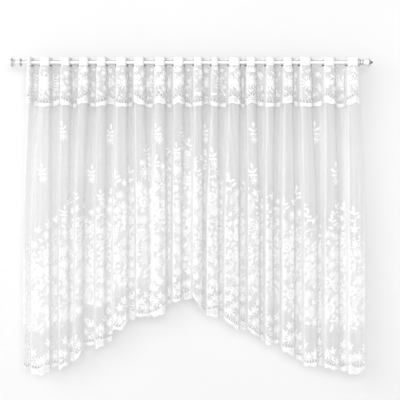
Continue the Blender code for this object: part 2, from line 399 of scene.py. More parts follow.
class Nodes:
    """A node tree that is put together by short calls."""

    def __init__(self, tree: bpy.types.NodeTree) -> None:
        """Start on a tree."""
        self.tree = tree

    def feed(self, node: bpy.types.Node, feeds: Feeds) -> None:
        """Give inputs of a node, by name or by number, the sockets or the values to read."""
        for name, value in feeds.items():
            if isinstance(value, Socket):
                self.tree.links.new(value, node.inputs[name])
            else:
                node.inputs[name].default_value = value

    def add(self, kind: str, feeds: Feeds | None = None, **settings: object) -> bpy.types.Node:
        """Return a new node of a kind, with its settings made and its inputs fed."""
        node = self.tree.nodes.new(kind)
        for name, value in settings.items():
            setattr(node, name, value)
        self.feed(node, feeds or {})
        return node

    def maths(self, operation: str, *values: object) -> Socket:
        """Return the result of a sum on numbers or sockets."""
        return self.add("ShaderNodeMath", dict(enumerate(values)), operation=operation).outputs[0]

    def vector(self, operation: str, *values: object) -> Socket:
        """Return the vector that a sum on vectors or sockets gives."""
        return self.add("ShaderNodeVectorMath", dict(enumerate(values)), operation=operation).outputs[0]

    def grey(self, value: Socket) -> Socket:
        """Return the grey of a brightness."""
        return self.add("ShaderNodeCombineColor", {"Red": value, "Green": value, "Blue": value}).outputs[0]

    def smooth_step(self, value: Socket, low: float, high: float, start: float, end: float) -> Socket:
        """Return start below low, end above high, and a soft change between them."""
        feeds = {"Value": value, "From Min": low, "From Max": high, "To Min": start, "To Max": end}
        return self.add("ShaderNodeMapRange", feeds, interpolation_type="SMOOTHSTEP").outputs["Result"]

    def attribute(self, name: str) -> Socket:
        """Return the number that a mesh keeps under a name."""
        return self.add("ShaderNodeAttribute", attribute_name=name).outputs["Fac"]

    def flat_place(self) -> Socket:
        """Return the place on the flat cloth."""
        return self.add("ShaderNodeUVMap", uv_map=FLAT_MAP).outputs["UV"]

    def bump(self, height: Socket, distance: float) -> Socket:
        """Return the normal of a surface with a fine relief."""
        return self.add("ShaderNodeBump", {"Height": height, "Distance": distance}).outputs["Normal"]

    def blend(self, share: Socket | float, first: Socket, second: Socket) -> Socket:
        """Return two shaders mixed, with a share of the second."""
        return self.add("ShaderNodeMixShader", {"Fac": share, 1: first, 2: second}).outputs[0]


def new_material(name: str) -> tuple[bpy.types.Material, Nodes, bpy.types.Node, bpy.types.Node]:
    """Return a new material, its nodes, its main shader and its output."""
    material = bpy.data.materials.new(name)
    material.use_nodes = True
    nodes = Nodes(material.node_tree)
    shader = material.node_tree.nodes["Principled BSDF"]
    return material, nodes, shader, material.node_tree.nodes["Material Output"]


@dataclass(frozen=True)
class WovenFlowers:
    """A layer of flowers or leaves woven into the net, one in each cell of an uneven pattern."""

    pitch: float
    reach: float
    petals: float = 0.0
    notch: float = 0.0
    narrow: float = 1.0
    tilt: float = 0.0
    scatter: float = 0.7
    least_size: float = 0.72
    size_range: float = 0.45
    rim: tuple[float, float] = (0.90, 1.06)
    gap_width: float = 0.30
    gap_run: tuple[float, float] = (0.25, 0.60)

    def cover(self, nodes: Nodes, flat: Socket, bloom: Socket) -> Socket:
        """Return 1 inside the flowers and 0 outside them.

        Args:
            nodes: the material's nodes.
            flat: the place on the flat cloth.
            bloom: how full the flowers are at a place, from 0 to 1.

        Returns:
            The socket with the layer's cover.
        """
        turned = nodes.add("ShaderNodeVectorRotate", {"Vector": flat, "Angle": self.tilt},
                           rotation_type="Z_AXIS").outputs[0]
        spot = nodes.vector("MULTIPLY", turned, (self.narrow, 1.0, 1.0))
        pattern = {"Vector": spot, "Scale": 1.0 / self.pitch, "Randomness": self.scatter}
        cells = nodes.add("ShaderNodeTexVoronoi", pattern, voronoi_dimensions="2D", feature="F1")
        away = nodes.vector("SUBTRACT", spot, cells.outputs["Position"])
        parts = nodes.add("ShaderNodeSeparateXYZ", {0: away})
        distance = nodes.add("ShaderNodeVectorMath", {0: away}, operation="LENGTH").outputs["Value"]
        chance = nodes.add("ShaderNodeSeparateColor", {0: cells.outputs["Color"]})
        turn = nodes.maths("MULTIPLY", chance.outputs["Red"], 2.0 * math.pi)
        angle = nodes.maths("ADD", nodes.maths("ARCTAN2", parts.outputs["Y"], parts.outputs["X"]), turn)
        wave = nodes.maths("SINE", nodes.maths("MULTIPLY", angle, 0.5 * self.petals))
        petal = nodes.maths("ABSOLUTE", wave)
        shape = nodes.maths("MULTIPLY_ADD", petal, self.notch, 1.0 - self.notch)
        size = nodes.maths("MULTIPLY_ADD", chance.outputs["Green"], self.size_range * self.reach,
                           self.least_size * self.reach)
        limit = nodes.maths("MULTIPLY", nodes.maths("MULTIPLY", shape, size), bloom)
        share = nodes.maths("DIVIDE", distance, nodes.maths("ADD", limit, 0.0001))
        inside = nodes.smooth_step(share, *self.rim, 1.0, 0.0)
        gap = nodes.maths("MULTIPLY", nodes.smooth_step(petal, 0.0, self.gap_width, self.notch, 0.0),
                          nodes.smooth_step(share, *self.gap_run, 0.0, 1.0))
        return nodes.maths("MULTIPLY", inside, nodes.maths("SUBTRACT", 1.0, gap))


@dataclass(frozen=True)
class NetFinish:
    """Sheer white net with woven flowers, denser at its turned-in sides. It is denser and whiter on the
    folds' sides, most on those that face left, as a painted highlight, and greyer high up as a painted
    shadow.
    """

    name: str
    flowers: tuple[WovenFlowers, WovenFlowers]
    net_shade: float = 0.82
    # Painted shadow high up under the valance: the net's shade there, and the drops between which it fades.
    painted_top_shadow: float = 0.78
    top_drop: float = 0.25
    even_drop: float = 0.50
    bloom_shade: float = 0.88
    flower_shade: float = 0.95
    mesh_pitch: float = 0.0017
    thread_cover: float = 0.84
    hole_cover: float = 0.20
    thread_edge: float = 0.10
    hole_edge: float = 0.95
    unevenness: float = 0.05
    patches: float = 26.0
    # How much denser the net is on the folds' sides, and how much whiter there, a painted highlight.
    fold_side_cover: float = 1.0
    painted_side_highlight: float = 0.12
    bloomed: float = 0.12
    flower_cover: float = 0.94
    side_hem: float = 0.011
    side_hem_cover: float = 0.86
    glow: float = 0.30
    roughness: float = 0.62
    sheen: float = 0.35
    sheen_roughness: float = 0.4

    def _meshes(self, nodes: Nodes, place: bpy.types.Node) -> Socket:
        """Return a wave that peaks in the middle of every mesh."""
        turn = 2.0 * math.pi / (self.mesh_pitch * math.cos(math.pi / 6.0))
        waves = []
        for index in range(3):
            angle = math.pi / 2.0 + index * math.pi / 1.5
            across = nodes.maths("MULTIPLY", place.outputs["X"], turn * math.cos(angle))
            along = nodes.maths("MULTIPLY", place.outputs["Y"], turn * math.sin(angle))
            waves.append(nodes.maths("COSINE", nodes.maths("ADD", across, along)))
        return nodes.maths("ADD", nodes.maths("ADD", waves[0], waves[1]), waves[2])

    def _colour(self, nodes: Nodes, place: bpy.types.Node, woven: Socket, bloom: Socket,
                side_light_and_cover: Socket) -> Socket:
        """Return the net's colour: greyer high up, a painted shadow; whiter on the folds' sides, most on
        those that face left, a painted highlight; and whiter at the flowers.
        """
        # Painted shadow: greyer from 0.50 m below the rod upwards, fully so above 0.25 m, as if shaded by the
        # valance and heading.
        plain = nodes.smooth_step(place.outputs["Y"], -self.even_drop, -self.top_drop,
                                  self.net_shade, self.painted_top_shadow)
        ground = nodes.maths("MULTIPLY_ADD", bloom, self.bloom_shade - self.net_shade, plain)
        # Painted highlight: whiter on the folds' sides, most on those that face the light on the left.
        ground = nodes.maths("MULTIPLY_ADD", side_light_and_cover, self.painted_side_highlight, ground)
        rise = nodes.maths("MULTIPLY", woven, nodes.maths("SUBTRACT", self.flower_shade, ground))
        return nodes.grey(nodes.maths("ADD", ground, rise))

    def _cover(self, nodes: Nodes, place: bpy.types.Node, flat: Socket, width: float, bloom: Socket,
               side_light_and_cover: Socket) -> Socket:
        """Return how much of the light the net between the flowers stops, from 0 to 1."""
        meshes = self._meshes(nodes, place)
        net = nodes.smooth_step(meshes, self.thread_edge, self.hole_edge, self.thread_cover, self.hole_cover)
        noise = nodes.add("ShaderNodeTexNoise", {"Vector": flat, "Scale": self.patches})
        swing = nodes.maths("SUBTRACT", noise.outputs["Fac"], 0.5)
        net = nodes.maths("MULTIPLY_ADD", swing, 2.0 * self.unevenness, net)
        # Denser on the folds' sides, most on the left-facing ones that face the light, part of the painted
        # highlight.
        net = nodes.maths("MULTIPLY_ADD", side_light_and_cover, self.fold_side_cover, net)
        net = nodes.maths("MINIMUM", nodes.maths("MULTIPLY_ADD", bloom, self.bloomed, net), 1.0)
        from_left = nodes.maths("LESS_THAN", place.outputs["X"], self.side_hem)
        from_right = nodes.maths("GREATER_THAN", place.outputs["X"], width - self.side_hem)
        edge = nodes.maths("MULTIPLY", nodes.maths("ADD", from_left, from_right), self.side_hem_cover)
        return nodes.maths("MAXIMUM", net, edge)

    def material(self, width: float) -> bpy.types.Material:
        """Return the finish for a cloth of a flat width."""
        material, nodes, shader, output = new_material(self.name)
        flat = nodes.flat_place()
        place = nodes.add("ShaderNodeSeparateXYZ", {0: flat})
        bloom, side_light_and_cover = nodes.attribute(BLOOM), nodes.attribute(SIDE_LIGHT_AND_COVER)
        woven = nodes.maths("MAXIMUM", *(layer.cover(nodes, flat, bloom) for layer in self.flowers))
        cover = self._cover(nodes, place, flat, width, bloom, side_light_and_cover)
        cover = nodes.maths("MAXIMUM", cover, nodes.maths("MULTIPLY", woven, self.flower_cover))
        colour = self._colour(nodes, place, woven, bloom, side_light_and_cover)
        nodes.feed(shader, {"Base Color": colour, "Roughness": self.roughness,
                            "Sheen Weight": self.sheen, "Sheen Roughness": self.sheen_roughness})
        glow = nodes.add("ShaderNodeBsdfTranslucent", {"Color": colour}).outputs[0]
        cloth = nodes.blend(self.glow, shader.outputs[0], glow)
        clear = nodes.add("ShaderNodeBsdfTransparent").outputs[0]
        nodes.feed(output, {"Surface": nodes.blend(cover, clear, cloth)})
        return material


PANEL_FLOWERS = (
    WovenFlowers(pitch=0.100, reach=0.026, petals=11.0, notch=0.40),
    WovenFlowers(pitch=0.070, reach=0.016, narrow=2.2, tilt=0.55),
)
VALANCE_FLOWERS = (
    WovenFlowers(pitch=0.048, reach=0.0122, petals=7.0, notch=0.70),
    WovenFlowers(pitch=0.054, reach=0.0115, narrow=2.6, tilt=-0.70),
)


# How far apart the bands of a straight wave texture lie at scale 1. A slanting one's lie twice as far.
BAND_PITCH = 0.314


@dataclass(frozen=True)
class ThreadFinish:
    """Opaque lace thread, laid close in slanting rows."""

    name: str
    colour: Colour = (0.92, 0.92, 0.92, 1.0)
    row_pitch: float = 0.0011
    row_waver: float = 1.5
    relief: float = 0.00012
    glow: float = 0.14
    roughness: float = 0.55
    sheen: float = 0.25

    def material(self) -> bpy.types.Material:
        """Return the finish."""
        material, nodes, shader, output = new_material(self.name)
        pattern = {"Vector": nodes.flat_place(), "Scale": 0.5 * BAND_PITCH / self.row_pitch,
                   "Distortion": self.row_waver}
        rows = nodes.add("ShaderNodeTexWave", pattern, wave_type="BANDS", bands_direction="DIAGONAL")
        nodes.feed(shader, {
            "Base Color": self.colour,
            "Roughness": self.roughness,
            "Sheen Weight": self.sheen,
            "Normal": nodes.bump(rows.outputs["Fac"], self.relief),
        })
        glow = nodes.add("ShaderNodeBsdfTranslucent", {"Color": self.colour}).outputs[0]
        nodes.feed(output, {"Surface": nodes.blend(self.glow, shader.outputs[0], glow)})
        return material


@dataclass(frozen=True)
class WovenFinish:
    """Stiff tape with fine ribs and a plain weave, as light as the mesh's shade attribute says: the tape's
    own tone, with a painted shadow at its slots.
    """

    name: str
    rib_pitch: float = 0.0016
    relief: float = 0.0002
    weft_share: float = 0.5
    roughness: float = 0.7
    sheen: float = 0.2

    def material(self) -> bpy.types.Material:
        """Return the finish."""
        material, nodes, shader, _ = new_material(self.name)
        pattern = {"Vector": nodes.flat_place(), "Scale": BAND_PITCH / self.rib_pitch}
        ribs, weft = (nodes.add("ShaderNodeTexWave", pattern, wave_type="BANDS", bands_direction=way)
                      for way in ("X", "Y"))
        height = nodes.maths("MULTIPLY", weft.outputs["Fac"], self.weft_share)
        height = nodes.maths("ADD", ribs.outputs["Fac"], height)
        nodes.feed(shader, {
            "Base Color": nodes.grey(nodes.attribute(SHADE)),
            "Roughness": self.roughness,
            "Sheen Weight": self.sheen,
            "Normal": nodes.bump(height, self.relief),
        })
        return material


@dataclass(frozen=True)
class LacquerFinish:
    """Faintly uneven lacquer with a pearly metal gloss, as light as the mesh's shade attribute says, which
    holds painted shade and highlight on the rod and finials.
    """

    name: str
    smoothest: float = 0.27
    roughest: float = 0.39
    grain: float = 160.0
    relief: float = 0.00003
    metallic: float = 0.60
    coat: float = 0.3
    coat_roughness: float = 0.12

    def material(self) -> bpy.types.Material:
        """Return the finish."""
        material, nodes, shader, _ = new_material(self.name)
        place = nodes.add("ShaderNodeTexCoord").outputs["Object"]
        noise = nodes.add("ShaderNodeTexNoise", {"Vector": place, "Scale": self.grain}).outputs["Fac"]
        nodes.feed(shader, {
            "Base Color": nodes.grey(nodes.attribute(SHADE)),
            "Roughness": nodes.smooth_step(noise, *NOISE_RANGE, self.smoothest, self.roughest),
            "Normal": nodes.bump(noise, self.relief),
            "Metallic": self.metallic,
            "Coat Weight": self.coat,
            "Coat Roughness": self.coat_roughness,
        })
        return material


class Motif(Enum):
    """The lace's ornaments."""

    DAISY = "daisy"
    WIDE_DAISY = "wide_daisy"
    GREAT_DAISY = "great_daisy"
    BLOSSOM = "blossom"
    PEONY = "peony"
    BUD = "bud"
    LEAF = "leaf"
    FERN_LEAF = "fern_leaf"
    TRIO = "trio"
    SPRIG = "sprig"
    SPRAY = "spray"
    CURL = "curl"


@dataclass
class Lacework:
    """A flat ornament of lace in the making. Its relief is its height above the net."""

    relief: float = 0.0005
    petal_base: float = 0.12
    petal_tip: float = 0.04

    def __post_init__(self) -> None:
        """Start with nothing."""
        self.points: list[Array] = []
        self.faces: list[tuple[int, ...]] = []
        self.count = 0

    def add_grid(self, grid: Array) -> None:
        """Add a grid of points, rows by columns by X, Y, Z, with faces upwards."""
        rows, columns = grid.shape[:2]
        for row in range(rows - 1):
            for column in range(columns - 1):
                corner = self.count + row * columns + column
                self.faces.append((corner, corner + 1, corner + columns + 1, corner + columns))
        self.points.append(grid.reshape(-1, 3))
        self.count += rows * columns

    def petal(self, start: tuple[float, float], angle: float, length: float, width: float,
              fullness: float = 0.6, bend: float = 0.0, steps: int = 5, slit: float = 0.0,
              lift: float = 0.0, point: float = 0.75) -> None:
        """Add a petal or a leaf blade.

        Args:
            start: its base.
            angle: the way it points, anticlockwise from straight up.
            length: base to tip.
            width: across its widest place.
            fullness: where it is widest, 0.5 half way and more nearer the tip.
            bend: how far it curves sideways, as a share of its length.
            steps: faces along it.
            slit: the open gap along its middle.
            lift: how far it lies above the ornament's own relief.
            point: how pointed its tip is, round at 0.5 and sharp at 1.2.
        """
        along = np.linspace(0.0, 1.0, steps + 1)
        shaped = along ** (math.log(0.5) / math.log(fullness))
        half = 0.5 * width * np.maximum(np.sin(math.pi * shaped), 0.0) ** point
        half[0] = self.petal_base * width
        half[-1] = self.petal_tip * width
        sides = ((-1.0, -0.5, 0.0), (0.0, 0.5, 1.0)) if slit > 0.0 else ((-1.0, 0.0, 1.0),)
        turn = np.array([[math.cos(angle), -math.sin(angle)], [math.sin(angle), math.cos(angle)]])
        for side in sides:
            grid = np.zeros((steps + 1, len(side), 3))
            for column, share in enumerate(side):
                away = share * np.maximum(half, 0.51 * slit)
                if slit > 0.0 and share == 0.0:
                    away = np.full(steps + 1, 0.5 * slit * np.sign(sum(side)))
                x = away + bend * length * along ** 2
                grid[:, column, :2] = (turn @ np.stack([x, length * along])).T + np.array(start)
                swell = (1.0 - share ** 2) if slit == 0.0 else 4.0 * abs(share) * (1.0 - abs(share))
                dome = swell * np.sin(math.pi * along) ** 0.5
                grid[:, column, 2] = lift + self.relief * (0.25 + 0.75 * dome)
            self.add_grid(grid)

    def disc(self, middle: tuple[float, float], radius: float, inner: float = 0.0,
             sides: int = 10, lift: float = 0.0) -> None:
        """Add a domed disc, or a ring where it has an inner radius."""
        turns = np.linspace(0.0, 2.0 * math.pi, sides + 1)
        rings = (radius, mix(radius, inner, 0.5), inner)
        heights = (0.3, 1.0, 0.4 if inner > 0.0 else 1.1)
        grid = np.zeros((3, sides + 1, 3))
        for row, (ring, height) in enumerate(zip(rings, heights)):
            grid[row, :, 0] = middle[0] - ring * np.cos(turns)
            grid[row, :, 1] = middle[1] + ring * np.sin(turns)
            grid[row, :, 2] = lift + self.relief * height
        self.add_grid(grid)

    def stem(self, route: Sequence[tuple[float, float]], width: float = 0.0016) -> None:
        """Add a raised cord along a route."""
        line = np.array(route, dtype=float)
        run = np.gradient(line, axis=0)
        run /= np.maximum(np.hypot(run[:, 0], run[:, 1])[:, None], 1e-9)
        side = np.stack([run[:, 1], -run[:, 0]], axis=1)
        grid = np.zeros((len(line), 3, 3))
        for column, share in enumerate((1.0, 0.0, -1.0)):
            grid[:, column, :2] = line + side * share * 0.5 * width
            grid[:, column, 2] = self.relief * (1.0 - 0.7 * abs(share))
        self.add_grid(grid[:, ::-1])

    def stretch(self, factor: float) -> None:
        """Widen all that was made so far."""
        for grid in self.points:
            grid[:, 0] *= factor

    def object(self, name: str) -> bpy.types.Object:
        """Return the ornament as an object."""
        return add_piece(name, new_mesh(name, np.concatenate(self.points), faces=self.faces), None)


def ring_of_petals(lace: Lacework, count: int, length: float, width: float, start: float,
                   middle: tuple[float, float] = (0.0, 0.0), first: float = 0.0,
                   fullness: float = 0.62, steps: int = 4, **shape: float) -> None:
    """Add petals all round a middle, each starting a little way out from it."""
    for index in range(count):
        angle = 2.0 * math.pi * (index + first) / count
        base = (middle[0] - start * math.sin(angle), middle[1] + start * math.cos(angle))
        wobble = 1.0 + 0.07 * math.sin(5.0 * angle + 1.3 * count)
        lace.petal(base, angle, length * wobble, width, fullness=fullness, steps=steps, **shape)


def daisy(lace: Lacework) -> None:
    """Make a daisy with pointed petals round a full middle, 56 mm across."""
    ring_of_petals(lace, 9, 0.0195, 0.0068, 0.0085, fullness=0.45, point=1.1)
    lace.disc((0.0, 0.0), 0.0115)


def wide_daisy(lace: Lacework) -> None:
    """Make a daisy of long slender petals round a full middle, 80 mm across."""
    ring_of_petals(lace, 12, 0.0270, 0.0074, 0.0130, fullness=0.5, point=1.1)
    ring_of_petals(lace, 11, 0.0105, 0.0060, 0.0080, lift=0.0003, steps=3)
    lace.disc((0.0, 0.0), 0.0145)


def great_daisy(lace: Lacework, widened: float = 1.85) -> None:
    """Make the great daisy, an oval 240 by 130 mm, full in the middle and fringed with petals."""
    ring_of_petals(lace, 22, 0.0300, 0.0076, 0.0340, steps=6, fullness=0.55)
    ring_of_petals(lace, 18, 0.0200, 0.0090, 0.0160, lift=0.0003, fullness=0.6)
    lace.disc((0.0, 0.0), 0.0330, inner=0.0160, sides=24)
    lace.disc((0.0, 0.0), 0.0165, inner=0.0080, sides=18, lift=0.0004)
    lace.disc((0.0, 0.0), 0.0070, sides=12, lift=0.0002)
    lace.stretch(widened)


def blossom(lace: Lacework) -> None:
    """Make a six-petalled blossom, 40 mm across."""
    ring_of_petals(lace, 6, 0.0165, 0.0120, 0.0032, fullness=0.62, steps=5, point=0.9)
    lace.disc((0.0, 0.0), 0.0046, lift=0.0002)


def peony(lace: Lacework) -> None:
    """Make a full peony of broad slit petals in three rings, 92 mm across."""
    ring_of_petals(lace, 8, 0.0250, 0.0170, 0.0210, fullness=0.66, steps=5, slit=0.0022)
    ring_of_petals(lace, 7, 0.0150, 0.0140, 0.0095, fullness=0.66, steps=5, first=0.5, lift=0.0003)
    lace.disc((0.0, 0.0), 0.0230, inner=0.0110, sides=14)
    lace.disc((0.0, 0.0), 0.0075)


def bud(lace: Lacework) -> None:
    """Make a bud between two sepals, 34 mm long."""
    lace.petal((0.0, 0.0), 0.0, 0.026, 0.0135, fullness=0.55, steps=5)
    lace.petal((-0.001, -0.002), 0.42, 0.019, 0.0058, bend=-0.12, lift=0.0002)
    lace.petal((0.001, -0.002), -0.42, 0.019, 0.0058, bend=0.12, lift=0.0002)
    lace.stem([(0.0, -0.009), (0.0004, -0.005), (0.0, 0.0)])


def leaf(lace: Lacework) -> None:
    """Make a veined leaf, 40 mm long."""
    lace.petal((0.0, -0.020), 0.0, 0.040, 0.0165, fullness=0.48, bend=0.06, steps=7, slit=0.0010)


def fern_leaf(lace: Lacework) -> None:
    """Make a leaf of narrow blades on a midrib, 84 mm long."""
    rib = [(0.010 * (along / 7.0) ** 2, -0.042 + 0.0115 * along) for along in range(8)]
    lace.stem(rib, 0.0022)
    for index, (x, y) in enumerate(rib[1:-1]):
        reach = 0.026 * math.sin(math.pi * (index + 1.3) / 8.0) ** 0.6
        for side in (-1.0, 1.0):
            lace.petal((x, y), side * 0.85, reach, 0.0062, fullness=0.55, bend=-0.12 * side, steps=4)
    lace.petal(rib[-1], -0.25, 0.020, 0.0070, fullness=0.5, steps=4)


def trio(lace: Lacework) -> None:
    """Make a star of five pointed leaves on a short stem, 56 mm high."""
    lace.stem([(0.0, -0.024), (0.0008, -0.014), (0.0, -0.004)], 0.0022)
    for angle, length in ((0.05, 0.034), (0.95, 0.027), (-0.90, 0.028), (2.0, 0.017), (-2.05, 0.018)):
        lace.petal((0.0, -0.005), angle, length, 0.0115, fullness=0.52, steps=5, point=0.95)


def sprig(lace: Lacework) -> None:
    """Make a flower with crossed leaves above it, the lone ornament of the plain net, 104 mm high."""
    ring_of_petals(lace, 8, 0.0175, 0.0062, 0.0060, fullness=0.5, point=1.1, middle=(0.004, -0.030))
    lace.disc((0.004, -0.030), 0.0080)
    lace.stem([(0.002, -0.014), (-0.001, -0.002), (-0.002, 0.012), (0.001, 0.022)], 0.0026)
    for x, y, angle, length in ((0.000, 0.022, 0.12, 0.030), (-0.001, 0.004, 0.95, 0.031),
                                (-0.001, 0.004, -0.85, 0.031), (0.000, -0.004, -1.75, 0.023),
                                (0.000, -0.006, 1.55, 0.022)):
        lace.petal((x, y), angle, length, 0.0115, fullness=0.52, point=1.0)


def spray(lace: Lacework) -> None:
    """Make an upright stem with two uneven pairs of pointed leaves, 96 mm high."""
    line = [(0.006 * math.sin(2.6 * along / 5.0), -0.048 + 0.0120 * along) for along in range(6)]
    lace.stem(line, 0.0026)
    for step, angle, length in ((1, 1.15, 0.030), (2, -1.0, 0.033), (4, 0.85, 0.031), (4, -1.15, 0.026)):
        lace.petal(line[step], angle, length, 0.0140, fullness=0.55, bend=0.05, point=0.9)
    lace.petal(line[-1], 0.0, 0.036, 0.0150, fullness=0.52, point=0.9)


def curl(lace: Lacework) -> None:
    """Make a scroll that ends in a round, 70 mm high, with small blades along its back."""
    line = []
    for step in range(16):
        turn = 0.35 * step
        radius = 0.0245 * math.exp(-0.17 * turn)
        line.append((radius * math.cos(turn) - 0.006, radius * math.sin(turn) * 1.15 + 0.004))
    line = [(0.012, -0.036), (0.0165, -0.022), (0.0185, -0.008)] + line
    lace.stem(line, 0.0042)
    for x, y, angle in ((0.0165, -0.022, -0.9), (0.0185, -0.006, -0.8), (0.016, 0.010, -0.5),
                        (0.009, 0.023, -0.1), (-0.004, 0.029, 0.5), (-0.018, 0.026, 0.9)):
        lace.petal((x, y), angle, 0.0165, 0.0068, fullness=0.55, steps=4)


MAKERS: dict[Motif, Callable[[Lacework], None]] = {
    Motif.DAISY: daisy,
    Motif.WIDE_DAISY: wide_daisy,
    Motif.GREAT_DAISY: great_daisy,
    Motif.BLOSSOM: blossom,
    Motif.PEONY: peony,
    Motif.BUD: bud,
    Motif.LEAF: leaf,
    Motif.FERN_LEAF: fern_leaf,
    Motif.TRIO: trio,
    Motif.SPRIG: sprig,
    Motif.SPRAY: spray,
    Motif.CURL: curl,
}


class Spot(NamedTuple):
    """Where an ornament lies on the flat cloth: place across, drop, turn and size."""

    across: float
    drop: float
    turn: float
    size: float


Plan = dict[Motif, list[Spot]]


class FoldTree:
    """Geometry nodes that lay out flat ornaments and carry them on to the folded cloth."""

    def __init__(self, name: str) -> None:
        """Start a tree with the inputs that every kind has."""
        self.tree = bpy.data.node_groups.new(name, "GeometryNodeTree")
        self.nodes = Nodes(self.tree)
        self._socket("Geometry", "NodeSocketGeometry")
        self._socket("Cloth", "NodeSocketObject")
        self._socket("Stand Off", "NodeSocketFloat")
        self._socket("Finish", "NodeSocketMaterial")
        self._socket("Geometry", "NodeSocketGeometry", "OUTPUT")

    def _socket(self, name: str, kind: str, way: str = "INPUT") -> None:
        """Give the tree an input or an output."""
        self.tree.interface.new_socket(name=name, in_out=way, socket_type=kind)

    def _attribute(self, name: str, kind: str = "FLOAT") -> Socket:
        """Return a named attribute of the geometry."""
        node = self.nodes.add("GeometryNodeInputNamedAttribute", {"Name": name}, data_type=kind)
        return node.outputs["Attribute"]

    def _rotation(self, angle: Socket) -> Socket:
        """Return a rotation in the flat cloth by an angle."""
        axes = self.nodes.add("ShaderNodeCombineXYZ", {"Z": angle})
        return self.nodes.add("FunctionNodeEulerToRotation", {0: axes.outputs[0]}).outputs[0]

    def _sample(self, cloth: Socket, field: str, flat: Socket) -> bpy.types.Node:
        """Return a reading of one of the cloth's own fields at flat places."""
        return self.nodes.add("GeometryNodeSampleUVSurface", {
            "Mesh": cloth,
            "Value": self.nodes.add(field).outputs[0],
            2: self._attribute(FLAT_MAP, "FLOAT_VECTOR"),
            "Sample UV": flat,
        }, data_type="FLOAT_VECTOR")

    def carry(self, inputs: bpy.types.Node, instances: Socket) -> None:
        """End the tree: realize the ornaments, carry them on to the folds and dress them.

        Args:
            inputs: the tree's input node.
            instances: the ornaments, laid out on the flat cloth.
        """
        nodes = self.nodes
        realize = nodes.add("GeometryNodeRealizeInstances", {0: instances})
        place = nodes.add("ShaderNodeSeparateXYZ", {0: nodes.add("GeometryNodeInputPosition").outputs[0]})
        flat = nodes.add("ShaderNodeCombineXYZ", {axis: place.outputs[axis] for axis in "XY"}).outputs[0]
        cloth = nodes.add("GeometryNodeObjectInfo", {"Object": inputs.outputs["Cloth"]}).outputs["Geometry"]
        spot = self._sample(cloth, "GeometryNodeInputPosition", flat)
        out = self._sample(cloth, "GeometryNodeInputNormal", flat)
        mapped = nodes.add("GeometryNodeStoreNamedAttribute",
                           {"Name": FLAT_MAP, "Geometry": realize.outputs[0], "Value": flat},
                           data_type="FLOAT2", domain="CORNER")
        missing = nodes.add("FunctionNodeBooleanMath", {0: spot.outputs["Is Valid"]}, operation="NOT")
        trim = nodes.add("GeometryNodeDeleteGeometry",
                         {"Geometry": mapped.outputs[0], "Selection": missing.outputs[0]}, domain="POINT")
        height = nodes.maths("ADD", place.outputs["Z"], inputs.outputs["Stand Off"])
        lift = nodes.add("ShaderNodeVectorMath", {0: out.outputs["Value"], "Scale": height},
                         operation="SCALE")
        there = nodes.vector("ADD", spot.outputs["Value"], lift.outputs[0])
        move = nodes.add("GeometryNodeSetPosition", {"Geometry": trim.outputs[0], "Position": there})
        smooth = nodes.add("GeometryNodeSetShadeSmooth", {0: move.outputs[0]})
        dress = nodes.add("GeometryNodeSetMaterial",
                          {"Geometry": smooth.outputs[0], "Material": inputs.outputs["Finish"]})
        nodes.add("NodeGroupOutput", {0: dress.outputs[0]})

    def run(self, name: str, mesh: bpy.types.Mesh, values: dict[str, object]) -> bpy.types.Object:
        """Return the piece that the tree makes of a mesh.

        Args:
            name: the piece's name.
            mesh: its points or line on the flat cloth.
            values: the tree's inputs, by name.

        Returns:
            The piece, a plain mesh.
        """
        piece = add_piece(name, mesh, None)
        modifier = piece.modifiers.new("On the folds", "NODES")
        modifier.node_group = self.tree
        for item in self.tree.interface.items_tree:
            if item.in_out == "INPUT" and item.name in values:
                modifier[item.identifier] = values[item.name]
        apply_modifiers(piece)
        return piece


class ScatterTree(FoldTree):
    """Lays an ornament out of a collection on every point, by the point's kind, turn and size."""

    def __init__(self) -> None:
        """Build the tree."""
        super().__init__("lace_on_the_folds")
        self._socket("Ornaments", "NodeSocketCollection")
        inputs = self.nodes.add("NodeGroupInput")
        kit = self.nodes.add("GeometryNodeCollectionInfo",
                             {"Collection": inputs.outputs["Ornaments"], "Separate Children": True})
        lay = self.nodes.add("GeometryNodeInstanceOnPoints", {
            "Points": inputs.outputs["Geometry"],
            "Instance": kit.outputs[0],
            "Pick Instance": True,
            "Instance Index": self._attribute("kind", "INT"),
            "Rotation": self._rotation(self._attribute("turn")),
            "Scale": self._attribute("size"),
        })
        self.carry(inputs, lay.outputs[0])


class RowTree(FoldTree):
    """Strings copies of one bead along a line, each turned the way that the line runs."""

    def __init__(self) -> None:
        """Build the tree."""
        super().__init__("row_on_the_folds")
        self._socket("Bead", "NodeSocketObject")
        self._socket("Pitch", "NodeSocketFloat")
        nodes = self.nodes
        inputs = nodes.add("NodeGroupInput")
        line = nodes.add("GeometryNodeMeshToCurve", {"Mesh": inputs.outputs["Geometry"]})
        even = nodes.add("GeometryNodeResampleCurve",
                         {"Curve": line.outputs[0], "Length": inputs.outputs["Pitch"]}, mode="LENGTH")
        run = nodes.add("ShaderNodeSeparateXYZ", {0: nodes.add("GeometryNodeInputTangent").outputs[0]})
        bead = nodes.add("GeometryNodeObjectInfo", {"Object": inputs.outputs["Bead"]})
        angle = nodes.maths("ARCTAN2", run.outputs["Y"], run.outputs["X"])
        lay = nodes.add("GeometryNodeInstanceOnPoints", {
            "Points": even.outputs[0],
            "Instance": bead.outputs["Geometry"],
            "Rotation": self._rotation(angle),
        })
        self.carry(inputs, lay.outputs[0])


def points_mesh(name: str, plan: Plan, order: Sequence[Motif]) -> bpy.types.Mesh:
    """Return the plan's spots as points that know their ornament, turn and size."""
    rows = [(order.index(motif), spot) for motif, spots in plan.items() for spot in spots]
    mesh = new_mesh(name, [(spot.across, -spot.drop, 0.0) for _, spot in rows])
    store(mesh, "kind", [kind for kind, _ in rows], "INT")
    store(mesh, "turn", [spot.turn for _, spot in rows])
    store(mesh, "size", [spot.size for _, spot in rows])
    return mesh


